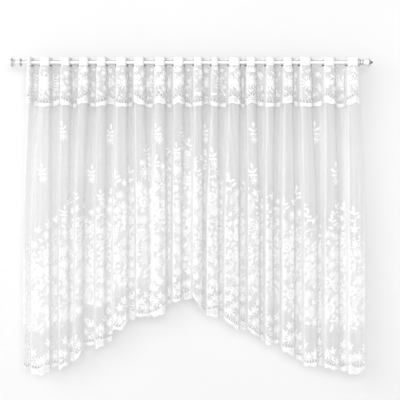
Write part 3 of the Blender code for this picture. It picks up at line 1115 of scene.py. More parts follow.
@dataclass
class LaceWorkshop:
    """The ornaments, the pearl and the two trees, kept while the lace is made."""

    pearl_radius: float = 0.0041
    pearl_height: float = 0.7
    pearl_sides: int = 8
    pearl_pitch: float = 0.0140
    pearl_gap: float = 0.0006
    lace_gap: float = 0.0004

    def __post_init__(self) -> None:
        """Make every ornament and the pearl once."""
        self.order = sorted(Motif, key=lambda motif: motif.value)
        self.kit = bpy.data.collections.new("ornaments")
        bpy.context.scene.collection.children.link(self.kit)
        for motif in self.order:
            lace = Lacework()
            MAKERS[motif](lace)
            ornament = lace.object(motif.value)
            bpy.context.scene.collection.objects.unlink(ornament)
            self.kit.objects.link(ornament)
        self.pearl = self._pearl()
        self.scatter = ScatterTree()
        self.row = RowTree()

    def _pearl(self) -> bpy.types.Object:
        """Return a round knot of thread."""
        lace = Lacework()
        turns = np.linspace(0.0, 2.0 * math.pi, self.pearl_sides + 1)
        grid = np.zeros((4, self.pearl_sides + 1, 3))
        for row, rise in enumerate((0.0, 0.5, 1.0, 1.5)):
            reach = self.pearl_radius * math.cos(rise)
            grid[row, :, 0] = -reach * np.cos(turns)
            grid[row, :, 1] = reach * np.sin(turns)
            grid[row, :, 2] = self.pearl_height * self.pearl_radius * math.sin(rise)
        lace.add_grid(grid)
        return lace.object("pearl")

    def ornaments(self, name: str, plan: Plan, cloth: bpy.types.Object,
                  material: bpy.types.Material) -> bpy.types.Object:
        """Return a piece of lace made of a plan's ornaments."""
        return self.scatter.run(name, points_mesh(name, plan, self.order), {
            "Cloth": cloth, "Stand Off": self.lace_gap, "Finish": material, "Ornaments": self.kit})

    def pearls(self, name: str, line: bpy.types.Mesh, cloth: bpy.types.Object,
               material: bpy.types.Material) -> bpy.types.Object:
        """Return a row of pearls along a line on the flat cloth."""
        return self.row.run(name, line, {
            "Cloth": cloth, "Stand Off": self.pearl_gap, "Finish": material,
            "Bead": self.pearl, "Pitch": self.pearl_pitch})

    def close(self) -> None:
        """Remove the ornaments and the pearl, which are not pieces."""
        for helper in list(self.kit.objects) + [self.pearl]:
            bpy.data.objects.remove(helper, do_unlink=True)
        bpy.data.collections.remove(self.kit)


# Columns: share of the way down a net's border, how far it stands out there as a share of its
# relief, and whether fine ribs cross it.
BORDER_ROWS = (
    (0.00, 0.3, True), (0.07, 1.3, False), (0.14, 0.3, True), (0.26, 0.5, True), (0.42, 0.9, True),
    (0.58, 0.9, True), (0.74, 0.5, True), (0.86, 0.3, True), (0.93, 1.3, False), (1.00, 0.3, True),
)
# Columns: share of the way across a cord from its middle, and its rise as a share of its relief.
CORD_ROWS = ((-0.5, 0.5), (0.0, 1.0), (0.5, 0.5))


@dataclass
class Net:
    """A length of net hung on the folds, with a scalloped lower edge."""

    drape: Drape
    label: str = "net"
    columns: int = 700
    row_count: int = 24
    scallop_pitch: float = 0.042
    scallop_rise: float = 0.008
    eyelet_height: float = 0.027
    eyelet_pitch: float = 0.0157
    eyelet_beat: float = 0.4
    eyelet_rows: tuple[float, float] = (0.14, 0.80)
    border_gap: float = 0.0004
    border_relief: float = 0.0007
    rib_rise: float = 0.00025
    rib_share: float = 0.2
    cord_height: float = 0.009
    cord_width: float = 0.0045
    cord_relief: float = 0.0006
    pearl_ends: float = 0.004
    pearl_steps: int = 1200
    # The share of the fold-side density and painted highlight that the right-facing sides, away from the
    # light, get, and how steeply it grows.
    shaded_side_share: float = 0.3
    side_light_power: float = 1.5

    def __post_init__(self) -> None:
        """Lay out its columns and its rows."""
        self.across = np.linspace(0.0, self.drape.flat_width, self.columns)
        self.rows = np.linspace(0.0, 1.0, self.row_count)

    def edge(self, across: Array) -> Array:
        """Return the drop of the lower edge before its small scallops."""
        raise NotImplementedError

    def stand_off(self, drops: Array) -> Array:
        """Return how far before the fold line the net lies."""
        raise NotImplementedError

    def bloom(self, points: Array, across: Array) -> Array:
        """Return how full the woven flowers are at the points of the cloth, from 0 to 1."""
        raise NotImplementedError

    def border_top(self, across: Array) -> Array:
        """Return the drop of the white border's upper edge, in deep arcs that meet in points."""
        raise NotImplementedError

    def scallops(self, across: Array) -> Array:
        """Return how far the small scallops hang below the edge."""
        return self.scallop_rise * (np.abs(np.sin(math.pi * across / self.scallop_pitch)) - 0.5)

    def low_edge(self, across: Array) -> Array:
        """Return the drop of the cut edge."""
        return self.edge(across) + self.scallops(across)

    def area(self) -> float:
        """Return the net's flat area."""
        heights = self.low_edge(self.across) - self.drape.top_drop
        return float(np.trapz(heights, self.across))

    def length(self) -> float:
        """Return the net's longest drop from its top edge."""
        return float(np.max(self.low_edge(self.across))) - self.drape.top_drop

    def build(self, material: bpy.types.Material) -> bpy.types.Object:
        """Return the net as a piece."""
        top = np.full(self.columns, self.drape.top_drop)
        points, places = self.drape.sheet_grid(self.across, top, self.low_edge(self.across), self.rows,
                                               self.stand_off)
        name = f"{self.label}_net"
        mesh = grid_mesh(name, points, places)
        run, depth = np.gradient(points[..., 0], axis=1), np.gradient(points[..., 1], axis=1)
        forward = -depth / np.hypot(run, depth)
        # Full on the folds' sides that face left, towards the light, and a small share on those that face
        # right: denser net there, whitened in the finish as a painted highlight.
        side_light_and_cover = np.maximum(forward, -self.shaded_side_share * forward) ** self.side_light_power
        store(mesh, SIDE_LIGHT_AND_COVER, side_light_and_cover.ravel())
        store(mesh, BLOOM, self.bloom(points, places[..., 0]).ravel())
        return add_piece(name, mesh, material)

    def _cloth_cells(self, heights: Array) -> Array:
        """Return which cells of the border are cloth, and not one of the eyelets where it is high.

        Args:
            heights: the border's height at each column.
        """
        levels = halfway(np.array([share for share, _, _ in BORDER_ROWS]))
        inner = (levels > self.eyelet_rows[0]) & (levels < self.eyelet_rows[1])
        high = halfway(heights) > self.eyelet_height
        turns = 2.0 * math.pi * halfway(self.across) / self.eyelet_pitch
        rows = math.pi * np.arange(len(levels))
        beat = np.sin(turns[None, :] + rows[:, None]) > self.eyelet_beat
        return ~(inner[:, None] & high[None, :] & beat)

    def _strip(self, name: str, rows: Sequence[tuple[Array, Array | float]],
               material: bpy.types.Material, keep: Array | None = None) -> bpy.types.Object:
        """Return a strip that lies along the net, just before it.

        Args:
            name: the piece's name.
            rows: the drops and the distance before the net of each of its rows.
            material: its finish.
            keep: which of its cells are cloth. All are if it is left out.
        """
        points = [self.drape.place(self.across, drops, self.stand_off(drops) + gap) for drops, gap in rows]
        places = [np.stack([self.across, -drops], axis=-1) for drops, _ in rows]
        return add_piece(name, grid_mesh(name, np.array(points), np.array(places), keep), material)

    def border(self, material: bpy.types.Material) -> bpy.types.Object:
        """Return the corded band along the cut edge."""
        top, low = self.border_top(self.across), self.low_edge(self.across)
        ribs = self.rib_rise * np.sin(2.0 * math.pi * self.across / (self.rib_share * self.scallop_pitch))
        rows = [(mix(top, low, share), self.border_gap + self.border_relief * rise + ribs * ribbed)
                for share, rise, ribbed in BORDER_ROWS]
        return self._strip(f"{self.label}_border", rows, material, self._cloth_cells(low - top))

    def cord(self, material: bpy.types.Material) -> bpy.types.Object:
        """Return the flat cord that follows the border's upper edge a little above it; its dark finish is a
        painted shadow of a row of eyelet holes.
        """
        middle = self.border_top(self.across) - self.cord_height
        rows = [(middle + share * self.cord_width, rise * self.cord_relief) for share, rise in CORD_ROWS]
        return self._strip(f"{self.label}_cord", rows, material)

    def pearl_line(self) -> bpy.types.Mesh:
        """Return the cord's middle as a line on the flat cloth."""
        across = np.linspace(self.pearl_ends, self.drape.flat_width - self.pearl_ends, self.pearl_steps)
        drops = self.border_top(across) - self.cord_height
        points = np.stack([across, -drops, np.zeros_like(across)], axis=1)
        edges = [(index, index + 1) for index in range(self.pearl_steps - 1)]
        return new_mesh(f"{self.label}_pearls", points, edges)


@dataclass
class MainPanel(Net):
    """The long net with the arched hem. It hangs behind the fold line."""

    label: str = "panel"
    row_count: int = 112
    behind: float = 0.0008
    arc_pitch: float = 0.229
    arc_start: float = 0.3
    arc_height: float = 0.013
    arc_rise: float = 0.034
    arc_power: float = 0.7
    bloom_rise: float = 0.24
    bloom_fade: float = 0.05
    plain_sides: float = 0.19
    plain_middle: float = 0.10
    plain_run: float = 0.40

    def edge(self, across: Array) -> Array:
        """Return the arched hem's drop."""
        return self.drape.hem_drop(across)

    def stand_off(self, drops: Array) -> Array:
        """Return the same small distance behind the fold line all the way down."""
        return np.full(np.shape(drops), -self.behind)

    def border_top(self, across: Array) -> Array:
        """Return the drop of the border's upper edge."""
        turns = math.pi * (across / self.arc_pitch + self.arc_start)
        arcs = np.abs(np.sin(turns)) ** self.arc_power
        return self.edge(across) - self.arc_height - self.arc_rise * (1.0 - arcs)

    def crest(self, x: Array) -> Array:
        """Return the drop at which the thick of the flowers starts, by the place along the rod."""
        places = [from_photo(across, down) for across, down in CREST]
        return np.interp(x, [place[0] for place in places], [place[1] for place in places])

    def bloom(self, points: Array, across: Array) -> Array:
        """Return the flowers' fullness: thick between the crest and a plain band above the border."""
        x, drops = points[..., 0], -points[..., 2]
        height = self.edge(across) - drops
        plain = mix(self.plain_sides, self.plain_middle, np.exp(-(x / self.plain_run) ** 2))
        full = ease((drops - self.crest(x)) / self.bloom_rise)
        return full * ease((height - plain) / self.bloom_fade)


# The photograph's columns at which two of the valance's broad scallops meet.
SCALLOPS_MEET = (30.6, 60.3, 85.6, 108.0, 135.5, 159.6, 178.7, 206.8, 233.2, 251.7, 289.8, 326.9, 354.9)


@dataclass
class Valance(Net):
    """The short net that hangs before the panel, with twelve broad scallops."""

    label: str = "valance"
    row_count: int = 22
    at_top: float = 0.0008
    hanging: float = 0.0042
    free_at: float = 0.030
    join_drop: float = 0.203
    broad_rise: float = 0.020
    beyond: float = 0.20
    scallop_rise: float = 0.005
    arc_height: float = 0.038
    arc_rise: float = 0.041
    arc_power: float = 0.8
    bloom_start: float = 0.036
    bloom_start_in_front: float = 0.008
    front_depth: float = 0.012
    bloom_rise: float = 0.03
    bloom_clear: float = 0.012
    bloom_fade: float = 0.012

    def __post_init__(self) -> None:
        """Find the flat places at which two broad scallops meet."""
        super().__post_init__()
        meets = [self.drape.across_at(from_photo(column, 0.0)[0], self.join_drop) for column in SCALLOPS_MEET]
        self.meets = np.array([meets[0] - self.beyond] + meets + [meets[-1] + self.beyond])

    def _bow(self, across: Array) -> Array:
        """Return 0 where two broad scallops meet and 1 in the middle of one."""
        turns = np.interp(across, self.meets, np.arange(len(self.meets)))
        return np.abs(np.sin(math.pi * turns))

    def edge(self, across: Array) -> Array:
        """Return the broad scallops' drop."""
        return self.join_drop + self.broad_rise * self._bow(across)

    def border_top(self, across: Array) -> Array:
        """Return the drop of the border's upper edge."""
        return self.join_drop - self.arc_height + self.arc_rise * self._bow(across) ** self.arc_power

    def bloom(self, points: Array, across: Array) -> Array:
        """Return the flowers' fullness: thick down to the border, from higher up on the folds' fronts."""
        drops = -points[..., 2]
        start = mix(self.bloom_start, self.bloom_start_in_front, ease(-points[..., 1] / self.front_depth))
        end = self.border_top(across) - self.bloom_clear
        return ease((drops - start) / self.bloom_rise) * ease((end - drops) / self.bloom_fade)

    def broad_scallops(self) -> list[tuple[float, float]]:
        """Return the flat middle and the flat width of each broad scallop."""
        ends = [float(place) for place in self.meets[1:-1]]
        return [(0.5 * (left + right), right - left) for left, right in zip(ends, ends[1:])]

    def stand_off(self, drops: Array) -> Array:
        """Return the distance before the fold line, which grows as the net falls free."""
        free = ease((drops - self.drape.top_drop) / self.free_at)
        return mix(self.at_top, self.hanging, free)


# Columns: a pixel of the photograph across, and the one down at which the thick of the flowers starts.
CREST = (
    (25.0, 232.0), (46.0, 228.0), (56.0, 214.0), (70.0, 200.0), (84.0, 206.0), (102.0, 190.0),
    (118.0, 182.0), (132.0, 170.0), (146.0, 150.0), (160.0, 158.0), (174.0, 148.0), (189.0, 142.0),
    (200.0, 158.0), (213.0, 149.0), (226.0, 174.0), (240.0, 184.0), (253.0, 182.0), (268.0, 196.0),
    (283.0, 196.0), (297.0, 190.0), (308.0, 208.0), (322.0, 216.0), (344.0, 207.0), (368.0, 226.0),
)


class Zone(NamedTuple):
    """A band of the panel that one kind of ornament is scattered in."""

    motif: Motif
    low: float
    below_crest: float
    deep: float
    count: int
    reach: float
    least: float
    most: float
    sway: float


# Columns: ornament, lowest height above the hem, how far below the crest the band starts and how
# deep it may be, how many, how much room each keeps as a radius, its least and greatest size, and
# how far it may turn from upright.
ZONES = (
    Zone(Motif.PEONY, 0.28, 0.13, 0.44, 52, 0.037, 0.95, 1.25, 3.2),
    Zone(Motif.WIDE_DAISY, 0.26, 0.10, 0.60, 44, 0.035, 0.75, 1.00, 3.2),
    Zone(Motif.FERN_LEAF, 0.24, 0.08, 0.60, 60, 0.027, 0.75, 1.05, 1.3),
    Zone(Motif.CURL, 0.24, 0.10, 0.60, 34, 0.026, 0.80, 1.05, 3.2),
    Zone(Motif.DAISY, 0.21, 0.04, 0.60, 90, 0.022, 0.70, 1.00, 3.2),
    Zone(Motif.SPRAY, 0.30, -0.01, 0.16, 14, 0.030, 0.80, 1.05, 0.45),
    Zone(Motif.TRIO, 0.28, 0.00, 0.40, 60, 0.021, 0.75, 1.05, 0.80),
    Zone(Motif.BUD, 0.22, 0.03, 0.60, 70, 0.014, 0.80, 1.10, 1.1),
    Zone(Motif.LEAF, 0.20, 0.04, 0.60, 150, 0.013, 0.75, 1.15, 1.6),
)


class Lone(NamedTuple):
    """An ornament that stands free on the plain net, by its pixel in the photograph."""

    across: float
    down: float
    motif: Motif
    turn: float
    size: float


# Columns: the pixel of its middle, the ornament, its turn and its size.
LONE_ORNAMENTS = (
    Lone(63.0, 131.0, Motif.SPRIG, 0.10, 1.00),
    Lone(110.0, 134.0, Motif.SPRIG, -0.15, 1.05),
    Lone(157.0, 133.0, Motif.SPRIG, 0.05, 1.10),
    Lone(183.0, 135.0, Motif.SPRIG, 0.20, 0.90),
    Lone(205.0, 133.0, Motif.SPRIG, -0.10, 1.00),
    Lone(254.0, 133.0, Motif.SPRIG, 0.00, 1.10),
    Lone(315.0, 132.0, Motif.SPRIG, -0.10, 1.15),
    Lone(43.0, 173.0, Motif.SPRIG, 0.05, 1.00),
    Lone(91.0, 174.0, Motif.SPRIG, -0.10, 0.95),
    Lone(147.0, 153.0, Motif.SPRIG, 0.10, 0.95),
    Lone(177.0, 152.0, Motif.SPRIG, -0.10, 0.95),
    Lone(213.0, 158.0, Motif.SPRIG, 0.05, 1.05),
    Lone(253.0, 174.0, Motif.SPRIG, 0.10, 1.10),
    Lone(282.0, 173.0, Motif.SPRIG, -0.20, 0.95),
    Lone(336.0, 174.0, Motif.SPRIG, 0.00, 1.20),
    Lone(115.0, 178.0, Motif.SPRAY, 0.05, 1.00),
    Lone(75.0, 196.0, Motif.SPRAY, 0.15, 1.00),
    Lone(102.0, 198.0, Motif.SPRIG, 0.10, 0.90),
    Lone(296.0, 194.0, Motif.SPRAY, -0.10, 1.00),
    Lone(283.0, 205.0, Motif.SPRAY, 0.10, 0.95),
    Lone(306.0, 217.0, Motif.SPRAY, -0.15, 0.95),
    Lone(344.0, 211.0, Motif.SPRAY, 0.05, 1.05),
    Lone(331.0, 222.0, Motif.SPRAY, 0.10, 0.90),
    Lone(354.0, 229.0, Motif.TRIO, -0.10, 1.10),
    Lone(65.0, 214.0, Motif.SPRIG, -0.10, 0.90),
    Lone(50.0, 225.0, Motif.TRIO, 0.10, 1.10),
    Lone(189.0, 146.0, Motif.SPRAY, 0.00, 0.90),
    Lone(196.0, 172.0, Motif.SPRAY, 0.05, 0.95),
)


# Columns: an ornament on each side of a broad scallop's middle, how far off as a share of the
# scallop, its drop, its turn and its size.
VALANCE_ORNAMENTS = (
    (Motif.TRIO, 0.47, 0.040, -0.2, 0.70),
    (Motif.DAISY, 0.32, 0.134, 0.9, 0.70),
    (Motif.DAISY, 0.27, 0.058, 0.5, 0.62),
    (Motif.LEAF, 0.38, 0.072, -0.9, 0.70),
    (Motif.TRIO, 0.38, 0.104, 2.0, 0.55),
    (Motif.LEAF, 0.19, 0.160, 1.2, 0.75),
    (Motif.BUD, 0.10, 0.038, -1.3, 0.80),
)


@dataclass
class LacePlan:
    """Where the ornaments lie: a generic flowered border, scattered from a fixed seed."""

    panel: MainPanel
    valance: Valance
    seed: int = 23
    tries: int = 60
    margin: float = 0.022
    least_band: float = 0.02
    lone_reach: float = 0.030
    row_count: int = 52
    row_spread: float = 0.22
    row_height: float = 0.034
    row_step: float = 0.016
    row_waver: float = 0.004
    meet_drop: float = 0.100
    meet_size: float = 0.80
    scallop_drop: float = 0.105
    scallop_size: float = 0.95
    great_reach: float = 0.38

    def __post_init__(self) -> None:
        """Start with an empty cloth."""
        self.draw = random.Random(self.seed)
        self.taken: list[tuple[float, float, float]] = []
        self.spots: Plan = {motif: [] for motif in Motif}

    def _clear(self, across: float, drop: float, reach: float) -> bool:
        """Return whether an ornament of a reach finds room at a place."""
        for other, other_drop, other_reach in self.taken:
            room = reach + other_reach
            if abs(across - other) < room and abs(drop - other_drop) < room:
                if math.hypot(across - other, drop - other_drop) < room:
                    return False
        return True

    def _put(self, motif: Motif, across: float, drop: float, turn: float, size: float,
             reach: float) -> None:
        """Lay an ornament down and keep its room."""
        self.spots[motif].append(Spot(across, drop, turn, size))
        self.taken.append((across, drop, reach))

    def _scatter(self, zone: Zone) -> None:
        """Lay down one kind of ornament in its zone."""
        width = self.panel.drape.flat_width
        for _ in range(zone.count):
            for _ in range(self.tries):
                across = self.draw.uniform(self.margin, width - self.margin)
                lowest = float(self.panel.edge(np.array(across))) - zone.low
                x = self.panel.drape.place(np.array([across]), np.array([lowest]))[0, 0]
                highest = float(self.panel.crest(x)) + zone.below_crest
                end = max(highest + self.least_band, min(lowest, highest + zone.deep))
                drop = self.draw.uniform(highest, end)
                size = self.draw.uniform(zone.least, zone.most)
                if self._clear(across, drop, zone.reach * size):
                    turn = self.draw.uniform(-zone.sway, zone.sway)
                    self._put(zone.motif, across, drop, turn, size, zone.reach * size)
                    break

    def _border_row(self) -> None:
        """Lay down the row of flowers and leaves above the hem, fuller towards the middle."""
        width = self.panel.drape.flat_width
        step = width / self.row_count
        for index in range(self.row_count):
            across = step * (index + 0.5)
            low = float(self.panel.border_top(np.array(across)))
            middle = math.exp(-((across / width - 0.5) / self.row_spread) ** 2)
            height = self.row_height + self.row_step * (index % 2)
            height += self.draw.uniform(-self.row_waver, self.row_waver)
            self._put(Motif.DAISY, across, low - height, self.draw.uniform(-3.0, 3.0),
                      self.draw.uniform(0.92, 1.15), 0.024)
            turn = self.draw.uniform(-0.45, 0.45)
            self._put(Motif.TRIO, across + 0.5 * step, low - height - 0.040 + 0.014 * (index % 3),
                      turn, self.draw.uniform(0.8, 1.0), 0.016)
            self._put(Motif.BUD, across + 0.5 * step, low - 0.020, 2.4 * turn, 0.75, 0.010)
            if self.draw.random() < 0.35 + 0.65 * middle:
                self._put(Motif.TRIO, across, low - height - 0.062, -turn, 0.95, 0.018)
            if self.draw.random() < middle:
                self._put(Motif.BLOSSOM, across + 0.02, low - height - 0.100, turn, 1.0, 0.020)

    def _lone(self) -> None:
        """Lay down the free ornaments of the plain net."""
        for lone in LONE_ORNAMENTS:
            x, drop = from_photo(lone.across, lone.down)
            across = self.panel.drape.across_at(x, drop)
            self._put(lone.motif, across, drop, lone.turn, lone.size, self.lone_reach * lone.size)

    def panel_spots(self) -> Plan:
        """Return the main panel's ornaments."""
        self._lone()
        for zone in ZONES:
            self._scatter(zone)
        self._border_row()
        return self.spots

    def valance_spots(self) -> Plan:
        """Return the valance's ornaments.

        A daisy stands where two broad scallops meet and in the middle of each, a great one in the
        first, with smaller flowers and leaves on both sides of it.
        """
        spots: Plan = {motif: [] for motif in Motif}
        for place in self.valance.meets[1:-1]:
            turn = self.draw.uniform(-0.3, 0.3)
            spots[Motif.WIDE_DAISY].append(Spot(float(place), self.meet_drop, turn, self.meet_size))
        for index, (middle, width) in enumerate(self.valance.broad_scallops()):
            turn = self.draw.uniform(-0.2, 0.2)
            main = Motif.WIDE_DAISY if index else Motif.GREAT_DAISY
            spots[main].append(Spot(middle, self.scallop_drop, turn, self.scallop_size))
            for motif, across, drop, angle, size in VALANCE_ORNAMENTS:
                if index == 0 and across < self.great_reach:
                    continue
                for side in (-1.0, 1.0):
                    place = middle + side * across * width
                    spots[motif].append(Spot(place, drop, side * angle + turn, size))
        return spots


@dataclass
class HeadingTape:
    """The stiff tape that weaves round the rod, with a slot at each crossing."""

    drape: Drape
    top: float = 0.024
    bottom: float = -0.018
    thickness: float = 0.0024
    slot_half_depth: float = 0.012
    slot_low: float = -0.0135
    slot_high: float = 0.0103
    columns: int = 1100
    # A painted shadow on the tape at each slot's lower rim: how far beside the slot it reaches, how high, and
    # how dark.
    slot_shadow_reach: float = 0.003
    slot_shadow_height: float = 0.0001
    painted_slot_shadow: float = 0.04
    cloth_shade: float = 0.84

    def __post_init__(self) -> None:
        """Lay out its columns and its rows, with a row at each end of a slot."""
        self.across = np.linspace(0.0, self.drape.flat_width, self.columns)
        self.heights = np.concatenate([
            np.linspace(self.top, self.slot_high, 5)[:-1],
            np.linspace(self.slot_high, self.slot_low, 6),
            np.linspace(self.slot_low, self.bottom, 3)[1:],
        ])

    def _cells(self) -> Array:
        """Return which cells are cloth, and not a slot."""
        middles, levels = halfway(self.across), halfway(self.heights)
        depth = self.drape.place(middles, np.zeros_like(middles))[:, 1]
        crossing = np.abs(depth) < self.slot_half_depth
        inside = (levels < self.slot_high) & (levels > self.slot_low)
        return ~(inside[:, None] & crossing[None, :])

    def _paint_slot_shadows(self, mesh: bpy.types.Mesh) -> None:
        """Paint a shadow on the tape at the lower rims of its slots, where the gap under the rod lies in
        shade.
        """
        depths = np.array([corner.co.y for corner in mesh.vertices])
        heights = np.array([corner.co.z for corner in mesh.vertices])
        beside = np.abs(depths) < self.slot_half_depth + self.slot_shadow_reach
        near = beside & (heights < self.slot_low + self.slot_shadow_height)
        store(mesh, SHADE, np.where(near, self.painted_slot_shadow, self.cloth_shade))

    def build(self, material: bpy.types.Material) -> bpy.types.Object:
        """Return the tape as a piece."""
        rows = [self.drape.place(self.across, np.full(self.columns, -height)) for height in self.heights]
        places = [np.stack([self.across, np.full(self.columns, height)], axis=-1) for height in self.heights]
        mesh = grid_mesh("tape_weave", np.array(rows), np.array(places), self._cells())
        self._paint_slot_shadows(mesh)
        piece = add_piece("tape_weave", mesh, material)
        wall = piece.modifiers.new("Thickness", "SOLIDIFY")
        wall.thickness = self.thickness
        wall.offset = 0.0
        apply_modifiers(piece)
        return piece


@dataclass
class CurtainRod:
    """The round rod and its two turned finials."""

    radius: float = 0.010
    half_length: float = 0.8425
    gap: float = 0.0003
    sides: int = 64
    steps: int = 5
    brightness: float = 0.94
    # Painted shade: the rod's upper side, from upper_from of its radius up, is darker, for the dim room above
    # mirrored in it.
    painted_rod_top_shade: float = 0.62
    upper_from: float = 0.5
    edge_angle: float = 35.0

    # Columns: distance from the rod's end, radius, and the brightness painted on the left and the right
    # finial: painted shade in the hollows, and painted light and shade for a lamp on the left, so the left
    # tip is light and the right cone dark.
    profile: tuple[tuple[float, float, float, float], ...] = (
        (0.0000, 0.0190, 0.25, 0.40),
        (0.0015, 0.0205, 0.50, 0.65),
        (0.0050, 0.0205, 0.50, 0.65),
        (0.0065, 0.0190, 0.35, 0.40),
        (0.0085, 0.0130, 0.85, 0.35),
        (0.0150, 0.0135, 0.98, 0.85),
        (0.0180, 0.0155, 0.98, 0.60),
        (0.0210, 0.0135, 0.95, 0.40),
        (0.0260, 0.0140, 0.95, 0.85),
        (0.0360, 0.0185, 0.80, 0.92),
        (0.0470, 0.0228, 0.50, 0.85),
        (0.0500, 0.0224, 0.75, 0.45),
        (0.0590, 0.0115, 0.98, 0.25),
        (0.0680, 0.0045, 0.98, 0.10),
        (0.0715, 0.0020, 0.98, 0.10),
    )

    def _turned(self, name: str, line: Sequence[tuple[float, float, float]],
                material: bpy.types.Material, upper: float = 1.0) -> bpy.types.Object:
        """Return a round piece on the X axis.

        Args:
            name: the piece's name.
            line: places along X, radii and brightnesses; on the finials these are painted shade and
                highlight.
            material: its finish.
            upper: how bright its upper side is, as a share of the rest, a painted shade for the dim room
                above mirrored in the lacquer.
        """
        turns = np.linspace(0.0, 2.0 * math.pi, self.sides, endpoint=False)
        shape = bmesh.new()
        shade = shape.verts.layers.float.new(SHADE)
        rings = []
        for place, radius, brightness in line:
            rings.append([shape.verts.new((place, radius * math.cos(turn), radius * math.sin(turn)))
                          for turn in turns])
            for corner in rings[-1]:
                # The upper side gets the painted shade.
                corner[shade] = brightness * (upper if corner.co.z > self.upper_from * radius else 1.0)
        for first, second in zip(rings, rings[1:]):
            for side in range(self.sides):
                after = (side + 1) % self.sides
                shape.faces.new((first[side], first[after], second[after], second[side]))
        shape.faces.new(rings[0])
        shape.faces.new(rings[-1])
        bmesh.ops.recalc_face_normals(shape, faces=shape.faces)
        mesh = bpy.data.meshes.new(name)
        shape.to_mesh(mesh)
        shape.free()
        mesh.shade_smooth()
        mesh.set_sharp_from_angle(angle=math.radians(self.edge_angle))
        return add_piece(name, mesh, material)

    def _rounded(self, side: float) -> list[tuple[float, float, float]]:
        """Return one finial's profile with its long hollows and swellings rounded."""
        # The left finial's column keeps it light and the right one's darkens its cone: painted light and
        # shade for a lamp on the left.
        rows = np.array(self.profile)[:, [0, 1, 3 if side > 0.0 else 2]]
        line = [tuple(rows[0])]
        for index in range(1, len(rows)):
            before, start = rows[max(0, index - 2)], rows[index - 1]
            end, after = rows[index], rows[min(len(rows) - 1, index + 1)]
            for step in range(1, self.steps + 1):
                share = step / self.steps
                bend = (2.0 * start + (end - before) * share
                        + (2.0 * before - 5.0 * start + 4.0 * end - after) * share ** 2
                        + (3.0 * start - before - 3.0 * end + after) * share ** 3) * 0.5
                line.append((float(mix(start[0], end[0], share)), float(bend[1]),
                             float(mix(start[2], end[2], share))))
        return line

    def rod(self, material: bpy.types.Material) -> bpy.types.Object:
        """Return the rod."""
        places = np.linspace(-self.half_length, self.half_length, 60)
        line = [(place, self.radius, self.brightness) for place in places]
        return self._turned("rod_bar", line, material, self.painted_rod_top_shade)

    def finial(self, side: float, name: str, material: bpy.types.Material) -> bpy.types.Object:
        """Return the finial of the right (side 1) or the left (side -1)."""
        start = self.half_length + self.gap
        line = [(side * (start + place), radius, shade) for place, radius, shade in self._rounded(side)]
        return self._turned(name, line, material)


